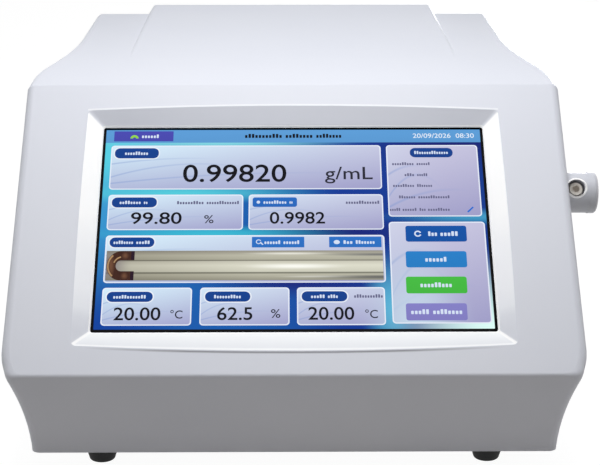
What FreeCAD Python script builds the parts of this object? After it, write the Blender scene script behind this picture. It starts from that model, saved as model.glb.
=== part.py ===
"""Benchtop density meter: every piece as its own solid, in millimetres.

X is across the instrument, Y runs from the nose edge towards the back and Z is up from the table.
The pieces are drawn about the nose edge and are moved at the end, so that the origin lies under the
middle of the whole instrument.
"""
import FreeCAD, Part
import math
import os

V = FreeCAD.Vector
RIGHT = V(1, 0, 0)
LEFT = V(-1, 0, 0)
BACK = V(0, 1, 0)
FRONT = V(0, -1, 0)
UP = V(0, 0, 1)
DOWN = V(0, 0, -1)
SIDES = (-1, 1)

# Clearances and the overrun of every cut
CUT_OVER = 1.0
FIT = 0.3
THREAD_FIT = 0.05
RUN_FIT = 0.08
TOLERANCE = 0.5
ACROSS_SHARE = 0.5
STRAIGHT_SHARE = 0.05
HEX_SIDES = 6

# Housing outside
FRONT_WIDTH = 323.0
REAR_WIDTH = 294.0
HOUSING_DEPTH = 420.0
FOOT_HEIGHT = 10.0
NOSE_HEIGHT = 60.0
CHIN_LEAN_DEG = 13.0
FASCIA_LENGTH = 200.0
FASCIA_LEAN_DEG = 49.2
BAND_LENGTH = 82.0
BAND_RISE = 1.3
WALL = 3.0

# Flank step from the wide front to the narrow back, which climbs backwards over the side
STEP_FRONT_RUN = 34.0
STEP_REAR_RUN = 110.0
STEP_FOOT_Y = -30.0
STEP_CLIMB_DEG = 52.0

# Flank cove that draws the sides in below the nose
COVE_HIGH_RUN = 8.0
COVE_LOW_RUN = 52.0

# Rounded edges of the housing
FLANK_EDGE_R = 5.0
NOSE_R = 2.0
CREASE_R = 2.5
REAR_EDGE_R = 4.0

# Hump on the rear of the top
HUMP_FOOT_HALF = 107.4
HUMP_TOP_HALF = 103.0
HUMP_RISE = 7.0
HUMP_EDGE_R = 4.0

# Screen recess in the fascia, measured up the slope from the nose edge
RECESS_HALF = 123.3
RECESS_LOW = 18.8
RECESS_TOP_GAP = 19.6
RECESS_BOW = 3.5
RECESS_SIDE_BOW = 1.0
RECESS_DEPTH = 5.0
RECESS_CORNER_R = 3.0
LOW_BEVEL_RUN = 11.6
HIGH_BEVEL_RUN = 8.8
LIP_BEVEL = 0.8
LIP_CORNER_R = 2.0
WINDOW_WIDTH = 227.2
WINDOW_CORNER_R = 1.5
WINDOW_LIP = 1.2

# Display stack behind the window
SEAT_MARGIN = 5.0
GASKET_T = 0.8
GASKET_BACK = 0.5
GLASS_T = 1.8
GLASS_CORNER_R = 2.0
MODULE_T = 5.0
MODULE_MARGIN = 3.0
FRAME_T = 1.5
FRAME_BAR = 14.0
EAR_WIDTH = 12.0
EAR_REACH = 11.0
EAR_INSET = 30.0
DISPLAY_BOSS_R = 4.0

# Screws
M3_R = 1.5
M3_HEAD_R = 2.8
M3_HEAD_H = 2.0
M4_R = 2.0
M4_HEAD_R = 3.6
M4_HEAD_H = 2.4
SCREW_GRIP = 9.0
SCREW_END_GAP = 1.5
SCREW_TAIL = 4.0
SOCKET_SHARE = 0.6

# Base plate, its bosses and the feet
BASE_T = 2.0
BASE_BOSS_R = 5.0
BASE_BOSS_H = 26.0
BASE_BOSS_INSET = 8.0
BASE_WEB_T = 3.0
BASE_BOSS_FRONT_Y = 32.0
BASE_BOSS_REAR_GAP = 22.0
VENT_SLOT_W = 3.0
VENT_SLOT_L = 46.0
VENT_PITCH = 9.0
VENT_COUNT = 7
VENT_X = 70.0
VENT_Y = 190.0
FOOT_TOP_R = 10.0
FOOT_LOW_R = 7.0
FOOT_HALF_SPAN = 109.0
FOOT_FRONT_Y = 27.0
FOOT_REAR_GAP = 32.0
FOOT_TOE_R = 1.4
FOOT_WELL_R = 4.6
FOOT_WELL_DEPTH = 5.0
PRESS_NUT_R = 4.0
PRESS_NUT_H = 4.0

# Rear panel
PANEL_T = 2.0
PANEL_HALF = 134.0
PANEL_LOW = 15.0
PANEL_TOP_GAP = 24.0
PANEL_LAP = 9.0

# Sample port on the right flank
PORT_Y = 115.0
PORT_Z = 132.0
PORT_R = 12.0
PORT_OUT_X = 174.9
PORT_IN_X = 137.0
PORT_CAP_R = 12.3
PORT_CAP_T = 4.9
PORT_CAP_EDGE_R = 2.4
PORT_DOME = 1.8
PORT_PLUG_R = 3.0
PORT_PLUG_L = 1.5
PORT_BOSS_R = 17.0
PORT_BOSS_X = 144.5
PORT_NUT_R = 16.0
PORT_NUT_T = 5.0
PORT_RING_T = 1.5
INLET_X = 167.3
INLET_TILT_DEG = 30.0
INLET_HOLE_R = 5.2
INLET_HOLE_DEPTH = 8.0
INLET_RIM = 0.8
ADAPTER_R = 3.75
ADAPTER_COLLAR_R = 4.6
ADAPTER_COLLAR_T = 2.0
ADAPTER_LENGTH = 12.0
ADAPTER_SUNK = 3.0
ADAPTER_CHAMBER = 4.0
LUER_R = 2.05
LUER_DEPTH = 7.0
FLUID_R = 0.9

# Hoses
HOSE_R = 1.6
HOSE_BORE_R = 0.8
AIR_HOSE_R = 2.5
AIR_HOSE_BORE_R = 1.5
BEND_SHARE = 0.45
BEND_REACH = 8.0
HOSE_TURN_X = 128.0
FITTING_R = 3.2
FITTING_L = 10.0
FITTING_WALL = 1.0
WASTE_RISE_RUN = 30.0
AIR_LEAD = 14.0
AIR_TURN_SHARE = 0.4

# Cell stand
SHELF_T = 2.0
SHELF_LOW = 84.0
SHELF_X0 = -76.0
SHELF_X1 = 124.0
SHELF_Y0 = 134.0
SHELF_Y1 = 238.0
POST_R = 4.0
POST_INSET = 8.0

# Measuring cell
JACKET_T = 6.0
CELL_X1 = 110.0
CELL_LENGTH = 170.0
CELL_Y0 = 154.0
CELL_DEPTH = 40.0
CELL_HEIGHT = 30.0
SLOT_WIDTH = 18.0
SLOT_DEPTH = 18.0
SLOT_END = 6.0
LID_T = 2.5
GLASS_TUBE_R = 2.0
GLASS_TUBE_BORE_R = 1.3
LEG_SPACING = 8.0
TUBE_RISE = 8.0
TUBE_BEND_GAP = 6.0
TUBE_STUB = 9.0
CLAMP_T = 14.0
MAGNET_L = 6.0
MAGNET_H = 3.0
COIL_R = 6.5
COIL_BORE_R = 2.5
COIL_H = 4.0
PROBE_R = 2.0
PROBE_L = 48.0
PROBE_IN = 28.0
PROBE_RISE = 6.0
PROBE_Y_IN = 6.0

# Temperature control
PELTIER_SIDE = 29.0
PELTIER_T = 3.6
PELTIER_SPACING = 80.0
SINK_BASE_T = 5.0
SINK_FIN_L = 24.0
SINK_FIN_T = 1.6
SINK_FIN_COUNT = 22
SINK_HEIGHT = 46.0

# Cell camera and light
ARM_T = 2.0
ARM_WIDTH = 30.0
ARM_HIGH = 160.0
ARM_REACH = 76.0
ARM_FOOT = 9.0
CAMERA_SIDE = 25.0
CAMERA_T = 1.6
CAMERA_SPACER = 2.4
LENS_R = 7.0
LENS_H = 15.0
LENS_GLASS_R = 4.0
LENS_GLASS_SUNK = 1.0
LIGHT_LENGTH = 120.0
LIGHT_W = 6.0
LIGHT_T = 3.0

# Exhaust fan on the rear panel
FAN_X = 0.0
FAN_Z = 112.0
FAN_SIDE = 40.0
FAN_T = 15.0
FAN_BORE_R = 18.8
FAN_CORNER_R = 3.0
FAN_SCREW_SPACING = 32.0
FAN_HUB_R = 9.0
FAN_HUB_T = 10.0
FAN_HUB_EDGE_R = 1.5
FAN_SHAFT_R = 1.5
FAN_BLADES = 7
FAN_BLADE_CHORD = 10.0
FAN_BLADE_T = 1.0
FAN_BLADE_TWIST_DEG = 38.0
FAN_TIP_GAP = 0.8
FAN_STRUT_W = 3.0
FAN_STRUT_T = 2.0
GUARD_WIRE_R = 0.8
GUARD_SPOKE_R = 1.0
GUARD_RINGS = 3
GUARD_EYE_R = 3.4

# Air pump on the base plate
PUMP_X = -128.0
PUMP_Y = 96.0
PUMP_CASE_L = 26.0
PUMP_CASE_W = 34.0
PUMP_CASE_H = 30.0
PUMP_CASE_WALL = 3.0
PUMP_MOTOR_R = 13.0
PUMP_MOTOR_L = 34.0
PUMP_MOTOR_EDGE_R = 1.5
PUMP_FLANGE_T = 2.0
PUMP_HATCH_R = 8.0
PUMP_SADDLE_L = 10.0
PUMP_SHAFT_R = 1.5
PUMP_CRANK_R = 8.0
PUMP_CRANK_T = 6.0
PUMP_CRANK_GAP = 1.0
PUMP_THROW = 2.5
PUMP_PIN_R = 1.5
PUMP_PIN_L = 6.0
PUMP_DISC_T = 2.0
PUMP_STUB_R = 4.0
PUMP_STUB_L = 1.5
PUMP_COVER_T = 8.0
PUMP_NIPPLE_L = 7.0
PUMP_FOOT_T = 3.0

# Drying cartridge
DRYER_X = -108.0
DRYER_Y0 = 170.0
DRYER_L = 96.0
DRYER_R = 15.0
DRYER_WALL = 1.6
DRYER_CAP_T = 8.0
DRYER_CAP_R = 16.5
DRYER_NIPPLE_L = 8.0
CLIP_T = 1.6
CLIP_W = 12.0
CLIP_MOUTH_DEG = 80.0
CLIP_FROM_END = 16.0

# Circuit boards
BOARD_T = 1.6
STANDOFF_H = 14.0
STANDOFF_R = 3.0
STANDOFF_INSET = 5.0
MAIN_X0 = -128.0
MAIN_X1 = -12.0
MAIN_LENGTH = 118.0
MAIN_PANEL_GAP = 3.0
POWER_X0 = 18.0
POWER_X1 = 132.0
POWER_LENGTH = 96.0
POWER_PANEL_GAP = 38.0
CHIP_ROW = 18.0
CHIP_PITCH = 22.0
CHIP_COUNT = 3
CHIP_W = 10.0
CHIP_L = 14.0
CHIP_H = 2.0
PROCESSOR_SIDE = 27.0
CAPACITOR_R = 4.0
CAPACITOR_H = 11.0
SOCKET_L = 6.0
SOCKET_H = 6.0
SOCKET_IN = 8.0
COIL_BLOCK_IN = 14.0
COIL_BLOCK_W = 26.0
COIL_BLOCK_L = 30.0
COIL_BLOCK_H = 26.0
BULK_R = 9.0
BULK_H = 25.0
SPREADER_L = 60.0
SPREADER_T = 3.0
SPREADER_H = 30.0
TERMINAL_X = 96.0
TERMINAL_W = 34.0
TERMINAL_L = 12.0
TERMINAL_H = 12.0

# Connectors on the main board
PORT_PROUD = 0.5
NETWORK_X = -34.0
NETWORK_W = 16.0
NETWORK_H = 13.5
NETWORK_L = 21.0
NETWORK_CAVITY_W = 11.9
NETWORK_CAVITY_H = 8.4
NETWORK_CAVITY_L = 14.0
NETWORK_FLOOR = 2.0
USB_XS = (-57.0, -75.0)
USB_W = 13.2
USB_H = 5.8
USB_L = 14.0
USB_SKIN = 0.4
USB_TONGUE_H = 1.9
USB_TONGUE_GAP = 0.8
SERIAL_X = -104.0
SERIAL_W = 31.0
SERIAL_H = 12.6
SERIAL_L = 12.0
SERIAL_SLEEVE_W = 17.0
SERIAL_SLEEVE_H = 8.4
SERIAL_SLEEVE_OUT = 6.0
SERIAL_SLEEVE_T = 0.8
SERIAL_DRAFT_DEG = 10.0
SERIAL_PIN_R = 0.5
SERIAL_TOP_PINS = 5
SERIAL_PIN_PITCH = 2.75
SERIAL_ROW_PITCH = 2.84
SERIAL_STUD_SPACING = 25.0
SERIAL_STUD_R = 2.6
SERIAL_STUD_L = 5.0

# Mains inlet with its fuse drawer
MAINS_X = 98.0
MAINS_Z = 52.0
MAINS_FLANGE_W = 50.0
MAINS_FLANGE_H = 42.0
MAINS_FLANGE_T = 3.5
MAINS_CORNER_R = 3.0
MAINS_BODY_W = 31.0
MAINS_BODY_H = 34.0
MAINS_BODY_L = 27.0
MAINS_CAVITY_W = 24.6
MAINS_CAVITY_H = 16.6
MAINS_CAVITY_L = 17.0
MAINS_CAVITY_CUT = 4.5
MAINS_CAVITY_RISE = 6.0
MAINS_SCREW_SPACING = 40.0
MAINS_PIN_W = 2.0
MAINS_PIN_H = 4.0
MAINS_PIN_L = 14.0
MAINS_PIN_SPACING = 14.0
MAINS_PIN_STEP = 4.0
MAINS_TAB_L = 9.0
DRAWER_W = 20.0
DRAWER_H = 8.0
DRAWER_L = 24.0
DRAWER_DROP = 11.0
DRAWER_FACE_T = 1.6
DRAWER_FACE_MARGIN = 1.5
DRAWER_WALL = 1.2
FUSE_R = 2.5
FUSE_L = 20.0
FUSE_CAP_L = 5.0

# Power switch
SWITCH_X = 54.0
SWITCH_Z = 52.0
SWITCH_FLANGE_W = 15.0
SWITCH_FLANGE_H = 23.0
SWITCH_FLANGE_T = 2.0
SWITCH_BODY_W = 12.8
SWITCH_BODY_H = 20.0
SWITCH_BODY_L = 16.0
SWITCH_ROOM_DEPTH = 6.4
SWITCH_WALL = 1.6
ROCKER_R = 8.6
ROCKER_PROUD = 0.6
ROCKER_DEPTH = 2.6
ROCKER_BELOW = 2.0
ROCKER_PIN_REACH = 0.8
ROCKER_FACE_DEG = 9.0
ROCKER_TILT_DEG = -7.0
ROCKER_PIN_R = 1.0
SWITCH_TAB_W = 5.0
SWITCH_TAB_T = 0.8
SWITCH_TAB_L = 8.0
SWITCH_TAB_GAP = 9.0

# Hose outlets on the rear panel
WASTE_X = 112.0
AIR_X = -112.0
OUTLET_Z = 132.0
OUTLET_R = 2.0
OUTLET_BORE_R = 1.2
OUTLET_TIP_R = 0.5
OUTLET_L = 14.0
OUTLET_FLANGE_R = 7.0
OUTLET_FLANGE_T = 3.0
OUTLET_THREAD_R = 4.0
OUTLET_THREAD_L = 8.0
OUTLET_NUT_R = 6.5
OUTLET_NUT_T = 3.0

# Wiring
RIBBON_W = 22.0
RIBBON_T = 0.8
RIBBON_X = -40.0
RIBBON_SLOPE = 60.0
RIBBON_LEAD = 12.0
RIBBON_RISE = 3.0
RIBBON_FLOOR_Y = 92.0
LEAD_R = 1.2
LEAD_RUN = 6.0


# Places worked out from the sizes above
def sine(degrees):
    return math.sin(math.radians(degrees))


def cosine(degrees):
    return math.cos(math.radians(degrees))


def tangent(degrees):
    return math.tan(math.radians(degrees))


FASCIA_TOP_Y = FASCIA_LENGTH * sine(FASCIA_LEAN_DEG)
FASCIA_TOP_Z = NOSE_HEIGHT + FASCIA_LENGTH * cosine(FASCIA_LEAN_DEG)
BAND_END_Y = FASCIA_TOP_Y + BAND_LENGTH
TOP_Z = FASCIA_TOP_Z + BAND_RISE
PANEL_HIGH = TOP_Z - PANEL_TOP_GAP
CHIN_FOOT_Y = (NOSE_HEIGHT - FOOT_HEIGHT) * tangent(CHIN_LEAN_DEG)
INSIDE_HALF = REAR_WIDTH / 2 - WALL
BASE_TOP = FOOT_HEIGHT + BASE_T
BASE_Y0 = CHIN_FOOT_Y + WALL / cosine(CHIN_LEAN_DEG)
BASE_Y1 = HOUSING_DEPTH - WALL
PANEL_OUT_Y = HOUSING_DEPTH - WALL
PANEL_IN_Y = PANEL_OUT_Y - PANEL_T
RECESS_HIGH = FASCIA_LENGTH - RECESS_TOP_GAP
WINDOW_LOW = RECESS_LOW + LOW_BEVEL_RUN
WINDOW_HIGH = RECESS_HIGH - HIGH_BEVEL_RUN
SEAT_DEPTH = RECESS_DEPTH + WINDOW_LIP
GLASS_DEPTH = SEAT_DEPTH + GASKET_T
MODULE_DEPTH = GLASS_DEPTH + GLASS_T
FRAME_DEPTH = MODULE_DEPTH + MODULE_T
FRAME_BACK = FRAME_DEPTH + FRAME_T
GLASS_HALF = WINDOW_WIDTH / 2 + SEAT_MARGIN
GLASS_LOW = WINDOW_LOW - SEAT_MARGIN
GLASS_HIGH = WINDOW_HIGH + SEAT_MARGIN
MODULE_HALF = GLASS_HALF - MODULE_MARGIN
MODULE_LOW = GLASS_LOW + MODULE_MARGIN
MODULE_HIGH = GLASS_HIGH - MODULE_MARGIN
EAR_X = GLASS_HALF + EAR_REACH - EAR_WIDTH / 2
EAR_SLOPES = (GLASS_LOW + EAR_INSET, GLASS_HIGH - EAR_INSET)
CELL_X0 = CELL_X1 - CELL_LENGTH
CELL_Y1 = CELL_Y0 + CELL_DEPTH
SHELF_TOP = SHELF_LOW + SHELF_T
CELL_LOW = SHELF_TOP + JACKET_T
CELL_TOP = CELL_LOW + CELL_HEIGHT
CELL_MID_Y = CELL_Y0 + CELL_DEPTH / 2
SLOT_FLOOR = CELL_TOP - SLOT_DEPTH
TUBE_Z = SLOT_FLOOR + TUBE_RISE
TUBE_BEND_X = CELL_X0 + SLOT_END + TUBE_BEND_GAP + LEG_SPACING / 2
TUBE_END_X = CELL_X1 + TUBE_STUB
SINK_Y0 = CELL_Y1 + PELTIER_T
SINK_Y1 = SINK_Y0 + SINK_BASE_T + SINK_FIN_L
ARM_Y1 = SINK_Y1 + ARM_T
MAIN_Y1 = PANEL_IN_Y - MAIN_PANEL_GAP
MAIN_Y0 = MAIN_Y1 - MAIN_LENGTH
POWER_Y1 = PANEL_IN_Y - POWER_PANEL_GAP
POWER_Y0 = POWER_Y1 - POWER_LENGTH
BOARD_LOW = BASE_TOP + STANDOFF_H
BOARD_TOP = BOARD_LOW + BOARD_T
FAN_Y0 = PANEL_IN_Y - FAN_T
PUMP_AXIS_Z = BASE_TOP + PUMP_FOOT_T + PUMP_CASE_H / 2
PUMP_TOP = BASE_TOP + PUMP_FOOT_T + PUMP_CASE_H
DRYER_Z = BASE_TOP + DRYER_CAP_R + CLIP_T
PORT_LINE = V(0, -cosine(INLET_TILT_DEG), sine(INLET_TILT_DEG))
PORT_AXIS = V(0, PORT_Y, PORT_Z)
ORIGIN_SHIFT = V(
    -(PORT_OUT_X + PORT_CAP_T + PORT_DOME - FRONT_WIDTH / 2) / 2,
    -(HOUSING_DEPTH - WALL + OUTLET_FLANGE_T + OUTLET_L) / 2,
    0,
)


# Small building helpers
def block(x0, x1, y0, y1, z0, z1):
    return Part.makeBox(x1 - x0, y1 - y0, z1 - z0, V(x0, y0, z0))


def rod(radius, start, direction, length):
    return Part.makeCylinder(radius, length, start, direction)


def drill(radius, start, direction, length):
    """A cutting cylinder that overruns both ends of the stretch it cuts."""
    return rod(radius, start - direction * CUT_OVER, direction, length + 2 * CUT_OVER)


def ring(outer, inner, start, direction, length):
    return rod(outer, start, direction, length).cut(drill(inner, start, direction, length))


def prism(points, sweep):
    return Part.Face(Part.makePolygon(points + points[:1])).extrude(sweep)


def join(shapes):
    whole = shapes[0].multiFuse(shapes[1:]) if len(shapes) > 1 else shapes[0]
    return whole.removeSplitter()


def group(shapes):
    return Part.makeCompound(shapes)


def screw(radius, head_radius, head_height, seat, direction, length):
    """A screw whose head stands on the seat and whose shank runs along the direction."""
    head = rod(head_radius, seat, direction * -1, head_height)
    rim = [e for e in head.Edges if e.Closed and e.CenterOfMass.distanceToPoint(seat) > head_height / 2]
    head = head.makeFillet(head_height / 2, rim)
    socket = rod(radius * SOCKET_SHARE, seat - direction * head_height, direction, head_height / 2)
    return rod(radius, seat, direction, length).fuse(head).cut(socket)


def m3_screw(seat, direction, length):
    return screw(M3_R, M3_HEAD_R, M3_HEAD_H, seat, direction, length)


def hex_rod(radius, start, direction, length):
    """A hexagonal bar whose corners lie on the radius."""
    turns = [index * 360 / HEX_SIDES for index in range(HEX_SIDES)]
    corners = [V(radius * cosine(turn), radius * sine(turn), 0) for turn in turns]
    bar = prism(corners, UP * length)
    bar.Placement = FreeCAD.Placement(start, FreeCAD.Rotation(UP, direction))
    return bar


def edges_along(shape, direction):
    """The straight edges of a shape that run along a direction."""
    return [e for e in shape.Edges if abs(e.tangentAt(e.FirstParameter).dot(direction)) > ACROSS_SHARE]


def on_fascia(shape):
    """Place a shape drawn with X across, Y up the slope and Z out of the fascia."""
    placed = shape.copy()
    turn = FreeCAD.Rotation(RIGHT, 90 - FASCIA_LEAN_DEG)
    placed.Placement = FreeCAD.Placement(V(0, 0, NOSE_HEIGHT), turn).multiply(placed.Placement)
    return placed


def hose_line(points):
    """Straight runs joined by tangent arcs, as large as the named reach and the shorter run allow."""
    edges = []
    start = points[0]
    for before, corner, after in zip(points, points[1:], points[2:]):
        into = corner - before
        out = after - corner
        reach = min(BEND_REACH, BEND_SHARE * into.Length, BEND_SHARE * out.Length)
        into.normalize()
        out.normalize()
        arc_start = corner - into * reach
        arc_end = corner + out * reach
        half_turn = into.getAngle(out) / 2
        radius = reach / math.tan(half_turn)
        inward = (out - into).normalize()
        middle = corner + inward * (radius / math.cos(half_turn) - radius)
        edges.append(Part.LineSegment(start, arc_start).toShape())
        edges.append(Part.Arc(arc_start, middle, arc_end).toShape())
        start = arc_end
    edges.append(Part.LineSegment(start, points[-1]).toShape())
    return Part.Wire(edges)


def hose(points, outer, bore):
    direction = points[1] - points[0]
    rims = [Part.Wire(Part.makeCircle(r, points[0], direction)) for r in (outer, bore) if r]
    return hose_line(points).makePipe(Part.Face(rims))


# Housing
def side_profile(inset):
    """The housing seen from the side, drawn at X zero and moved inwards by the inset."""
    nose = V(0, 0, NOSE_HEIGHT)
    chin = V(0, CHIN_FOOT_Y, FOOT_HEIGHT)
    rear_low = V(0, HOUSING_DEPTH, FOOT_HEIGHT)
    rear_top = V(0, HOUSING_DEPTH, TOP_Z)
    band_end = V(0, BAND_END_Y, TOP_Z)
    fascia_top = V(0, FASCIA_TOP_Y, FASCIA_TOP_Z)
    radius = (BAND_LENGTH ** 2 + BAND_RISE ** 2) / (2 * BAND_RISE)
    half = BAND_LENGTH / 2
    band_mid = V(0, BAND_END_Y - half, TOP_Z - radius + math.sqrt(radius ** 2 - half ** 2))
    edges = [
        Part.LineSegment(nose, chin).toShape(),
        Part.LineSegment(chin, rear_low).toShape(),
        Part.LineSegment(rear_low, rear_top).toShape(),
        Part.LineSegment(rear_top, band_end).toShape(),
        Part.Arc(band_end, band_mid, fascia_top).toShape(),
        Part.LineSegment(fascia_top, nose).toShape(),
    ]
    face = Part.Face(Part.Wire(edges))
    return face.makeOffset2D(-inset, join=2) if inset else face


def stepped_face(front_run, rear_run, inset):
    """A long flat face, wide in front and narrow behind, with an S-shaped step at Y zero on both sides."""
    step = (FRONT_WIDTH - REAR_WIDTH) / 2
    turn = 2 * math.atan(step / (front_run + rear_run))
    front_r = front_run / math.sin(turn)
    rear_r = rear_run / math.sin(turn)
    front_x = FRONT_WIDTH / 2 - front_r
    rear_x = REAR_WIDTH / 2 + rear_r
    front_r = front_r - inset
    rear_r = rear_r + inset

    def front_point(angle, side):
        return V(side * (front_x + front_r * math.cos(angle)), front_r * math.sin(angle) - front_run, 0)

    def rear_point(angle, side):
        return V(side * (rear_x - rear_r * math.cos(angle)), rear_run - rear_r * math.sin(angle), 0)

    reach = 2 * HOUSING_DEPTH
    edges = []
    ends = {}
    for side in SIDES:
        first = front_point(0, side)
        last = rear_point(0, side)
        ends[side] = (V(first.x, -reach, 0), V(last.x, reach, 0))
        edges.append(Part.LineSegment(ends[side][0], first).toShape())
        edges.append(Part.Arc(first, front_point(turn / 2, side), front_point(turn, side)).toShape())
        edges.append(Part.Arc(rear_point(turn, side), rear_point(turn / 2, side), last).toShape())
        edges.append(Part.LineSegment(last, ends[side][1]).toShape())
    edges.append(Part.LineSegment(ends[-1][0], ends[1][0]).toShape())
    edges.append(Part.LineSegment(ends[-1][1], ends[1][1]).toShape())
    return Part.Face(Part.Wire(Part.__sortEdges__(edges)))


def flank_prism(inset):
    """The plan of both flanks, swept up and back along the step's climb."""
    plan = stepped_face(STEP_FRONT_RUN, STEP_REAR_RUN, inset)
    climb = TOP_Z + HUMP_RISE
    plan.translate(V(0, STEP_FOOT_Y, 0))
    return plan.extrude(V(0, climb * tangent(STEP_CLIMB_DEG), climb))


def cove_prism(inset):
    """Both flanks seen from the front, drawn in below the nose, swept from front to back."""
    view = stepped_face(COVE_HIGH_RUN, COVE_LOW_RUN, inset)
    view.rotate(V(0, 0, 0), RIGHT, -90)  # wide end up
    view.translate(V(0, -HOUSING_DEPTH, NOSE_HEIGHT))
    return view.extrude(BACK * 3 * HOUSING_DEPTH)


def housing_form(inset):
    profile = side_profile(inset)
    profile.translate(LEFT * FRONT_WIDTH)
    form = profile.extrude(RIGHT * 2 * FRONT_WIDTH).common(flank_prism(inset)).common(cove_prism(inset))
    return form.removeSplitter().Solids[0]


def rounded_housing():
    """The outside of the housing with its edges rounded, before the hump is added."""
    form = housing_form(0)
    rounds = []
    for number, edge in enumerate(form.Edges, 1):
        middle = edge.CenterOfMass
        if abs(middle.x) < TOLERANCE:
            if abs(middle.z - NOSE_HEIGHT) < TOLERANCE:
                rounds.append((number, NOSE_R, NOSE_R))
            elif abs(middle.y - FASCIA_TOP_Y) < TOLERANCE:
                rounds.append((number, CREASE_R, CREASE_R))
            elif abs(middle.z - TOP_Z) < TOLERANCE and middle.y > BAND_END_Y + TOLERANCE:
                rounds.append((number, REAR_EDGE_R, REAR_EDGE_R))
        elif middle.z > FOOT_HEIGHT + TOLERANCE and is_outline(form, edge):
            rounds.append((number, FLANK_EDGE_R, FLANK_EDGE_R))
    sheet = FreeCAD.newDocument("housing")
    base = sheet.addObject("Part::Feature", "form")
    base.Shape = form
    fillet = sheet.addObject("Part::Fillet", "rounded")
    fillet.Base = base
    fillet.Edges = rounds
    sheet.recompute()
    rounded = fillet.Shape.copy()
    FreeCAD.closeDocument(sheet.Name)
    return rounded.Solids[0]


def is_outline(form, edge):
    """True for an edge between a flank and a face that runs straight across."""
    across = []
    for face in form.Faces:
        if any(other.isSame(edge) for other in face.Edges):
            u0, u1, v0, v1 = face.ParameterRange
            across.append(abs(face.normalAt((u0 + u1) / 2, (v0 + v1) / 2).x))
    return len(across) == 2 and min(across) < STRAIGHT_SHARE and max(across) > ACROSS_SHARE


def hump(inset):
    """A wedge that rises from the end of the front band to the back, with rounded long edges."""
    half = HUMP_FOOT_HALF - inset
    top = HUMP_TOP_HALF - inset
    low = TOP_Z - WALL / 2 - inset
    y0 = BAND_END_Y
    y1 = HOUSING_DEPTH - inset
    rise = TOP_Z + HUMP_RISE - inset
    flare = (half - top) / HUMP_RISE * (TOP_Z - inset - low)
    wide = half + flare
    wedge = prism([V(-wide, y0, low), V(-wide, y1, low), V(-wide, y1, rise), V(-wide, y0, TOP_Z - inset)],
                  V(2 * wide, 0, 0))
    trim = prism([V(-wide, y0, low), V(wide, y0, low), V(top, y0, rise), V(-top, y0, rise)], V(0, y1 - y0, 0))
    form = wedge.common(trim)
    if inset:
        return form
    ridge = [e for e in form.Edges if e.CenterOfMass.z > TOP_Z and e.BoundBox.ZMax > rise - TOLERANCE]
    ridge = [e for e in ridge if e.BoundBox.ZMin > low + TOLERANCE]
    return form.makeFillet(HUMP_EDGE_R, ridge)


def recess_outline(lift, grow, corner_r):
    """The recess outline at a height over its floor, as a share of the depth where one is the fascia."""
    middle = (WINDOW_LOW + WINDOW_HIGH) / 2
    half = WINDOW_WIDTH / 2 + (RECESS_HALF - WINDOW_WIDTH / 2) * lift + grow
    low = WINDOW_LOW - (WINDOW_LOW - RECESS_LOW) * lift - grow
    high = WINDOW_HIGH + (RECESS_HIGH - WINDOW_HIGH) * lift + grow
    bow = RECESS_BOW * lift
    wide = half + RECESS_SIDE_BOW * lift
    z = (lift - 1) * RECESS_DEPTH
    corners = [V(-half, low, z), V(half, low, z), V(half, high, z), V(-half, high, z)]
    crests = [V(0, low - bow, z), V(wide, middle, z), V(0, high + bow, z), V(-wide, middle, z)]
    edges = []
    for index, crest in enumerate(crests):
        a = corners[index]
        b = corners[(index + 1) % len(corners)]
        if lift:
            edges.append(Part.Arc(a, crest, b).toShape())
        else:
            edges.append(Part.LineSegment(a, b).toShape())
    sharp = Part.Wire(edges)
    if not corner_r:
        return sharp
    shrunk = Part.Face(sharp).makeOffset2D(-corner_r, join=2)
    return shrunk.makeOffset2D(corner_r, join=0).OuterWire


def recess_cut():
    """The sloped recess, the small bevel round the window and the window itself."""
    top = 1 + CUT_OVER / RECESS_DEPTH
    mouth = recess_outline(0, 0, WINDOW_CORNER_R)
    mouth.translate(DOWN * LIP_BEVEL)
    lip = recess_outline(0, LIP_BEVEL, LIP_CORNER_R)
    rim = recess_outline(top, LIP_BEVEL * (1 - top), RECESS_CORNER_R)
    funnel = Part.makeLoft([lip, rim], True, True)
    bevel = Part.makeLoft([mouth, lip], True, True)
    window = Part.Face(mouth).extrude(DOWN * 2 * GLASS_DEPTH)
    return on_fascia(join([funnel, bevel, window]))


def recess_tub():
    """The moulded wall behind the recess, which ends in the flat seat of the display gasket."""
    seat = SEAT_DEPTH - RECESS_DEPTH
    tub = Part.makeLoft([recess_outline(0, WALL, 0), recess_outline(1, WALL, 0)], True, True)
    half = GLASS_HALF + WALL
    pad = block(-half, half, GLASS_LOW - WALL, GLASS_HIGH + WALL, -RECESS_DEPTH - seat, -WALL / 2)
    return on_fascia(tub.fuse(pad))


def display_bosses():
    bosses = []
    for side in SIDES:
        for slope in EAR_SLOPES:
            boss = rod(DISPLAY_BOSS_R, V(side * EAR_X, slope, -FRAME_DEPTH), UP, FRAME_DEPTH - WALL / 2)
            pilot = rod(M3_R + THREAD_FIT, V(side * EAR_X, slope, -FRAME_DEPTH - CUT_OVER), UP, SCREW_GRIP)
            bosses.append((on_fascia(boss), on_fascia(pilot)))
    return bosses


def base_screw_places():
    x = INSIDE_HALF - BASE_BOSS_INSET
    rear = BASE_Y1 - BASE_BOSS_REAR_GAP
    for side in SIDES:
        for y in (BASE_BOSS_FRONT_Y, (BASE_BOSS_FRONT_Y + rear) / 2, rear):
            yield V(side * x, y, BASE_TOP)


def panel_screw_places():
    x = PANEL_HALF - PANEL_LAP / 2
    for side in SIDES:
        for z in (PANEL_LOW + PANEL_LAP / 2, (PANEL_LOW + PANEL_HIGH) / 2, PANEL_HIGH - PANEL_LAP / 2):
            yield V(side * x, HOUSING_DEPTH, z)


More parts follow.
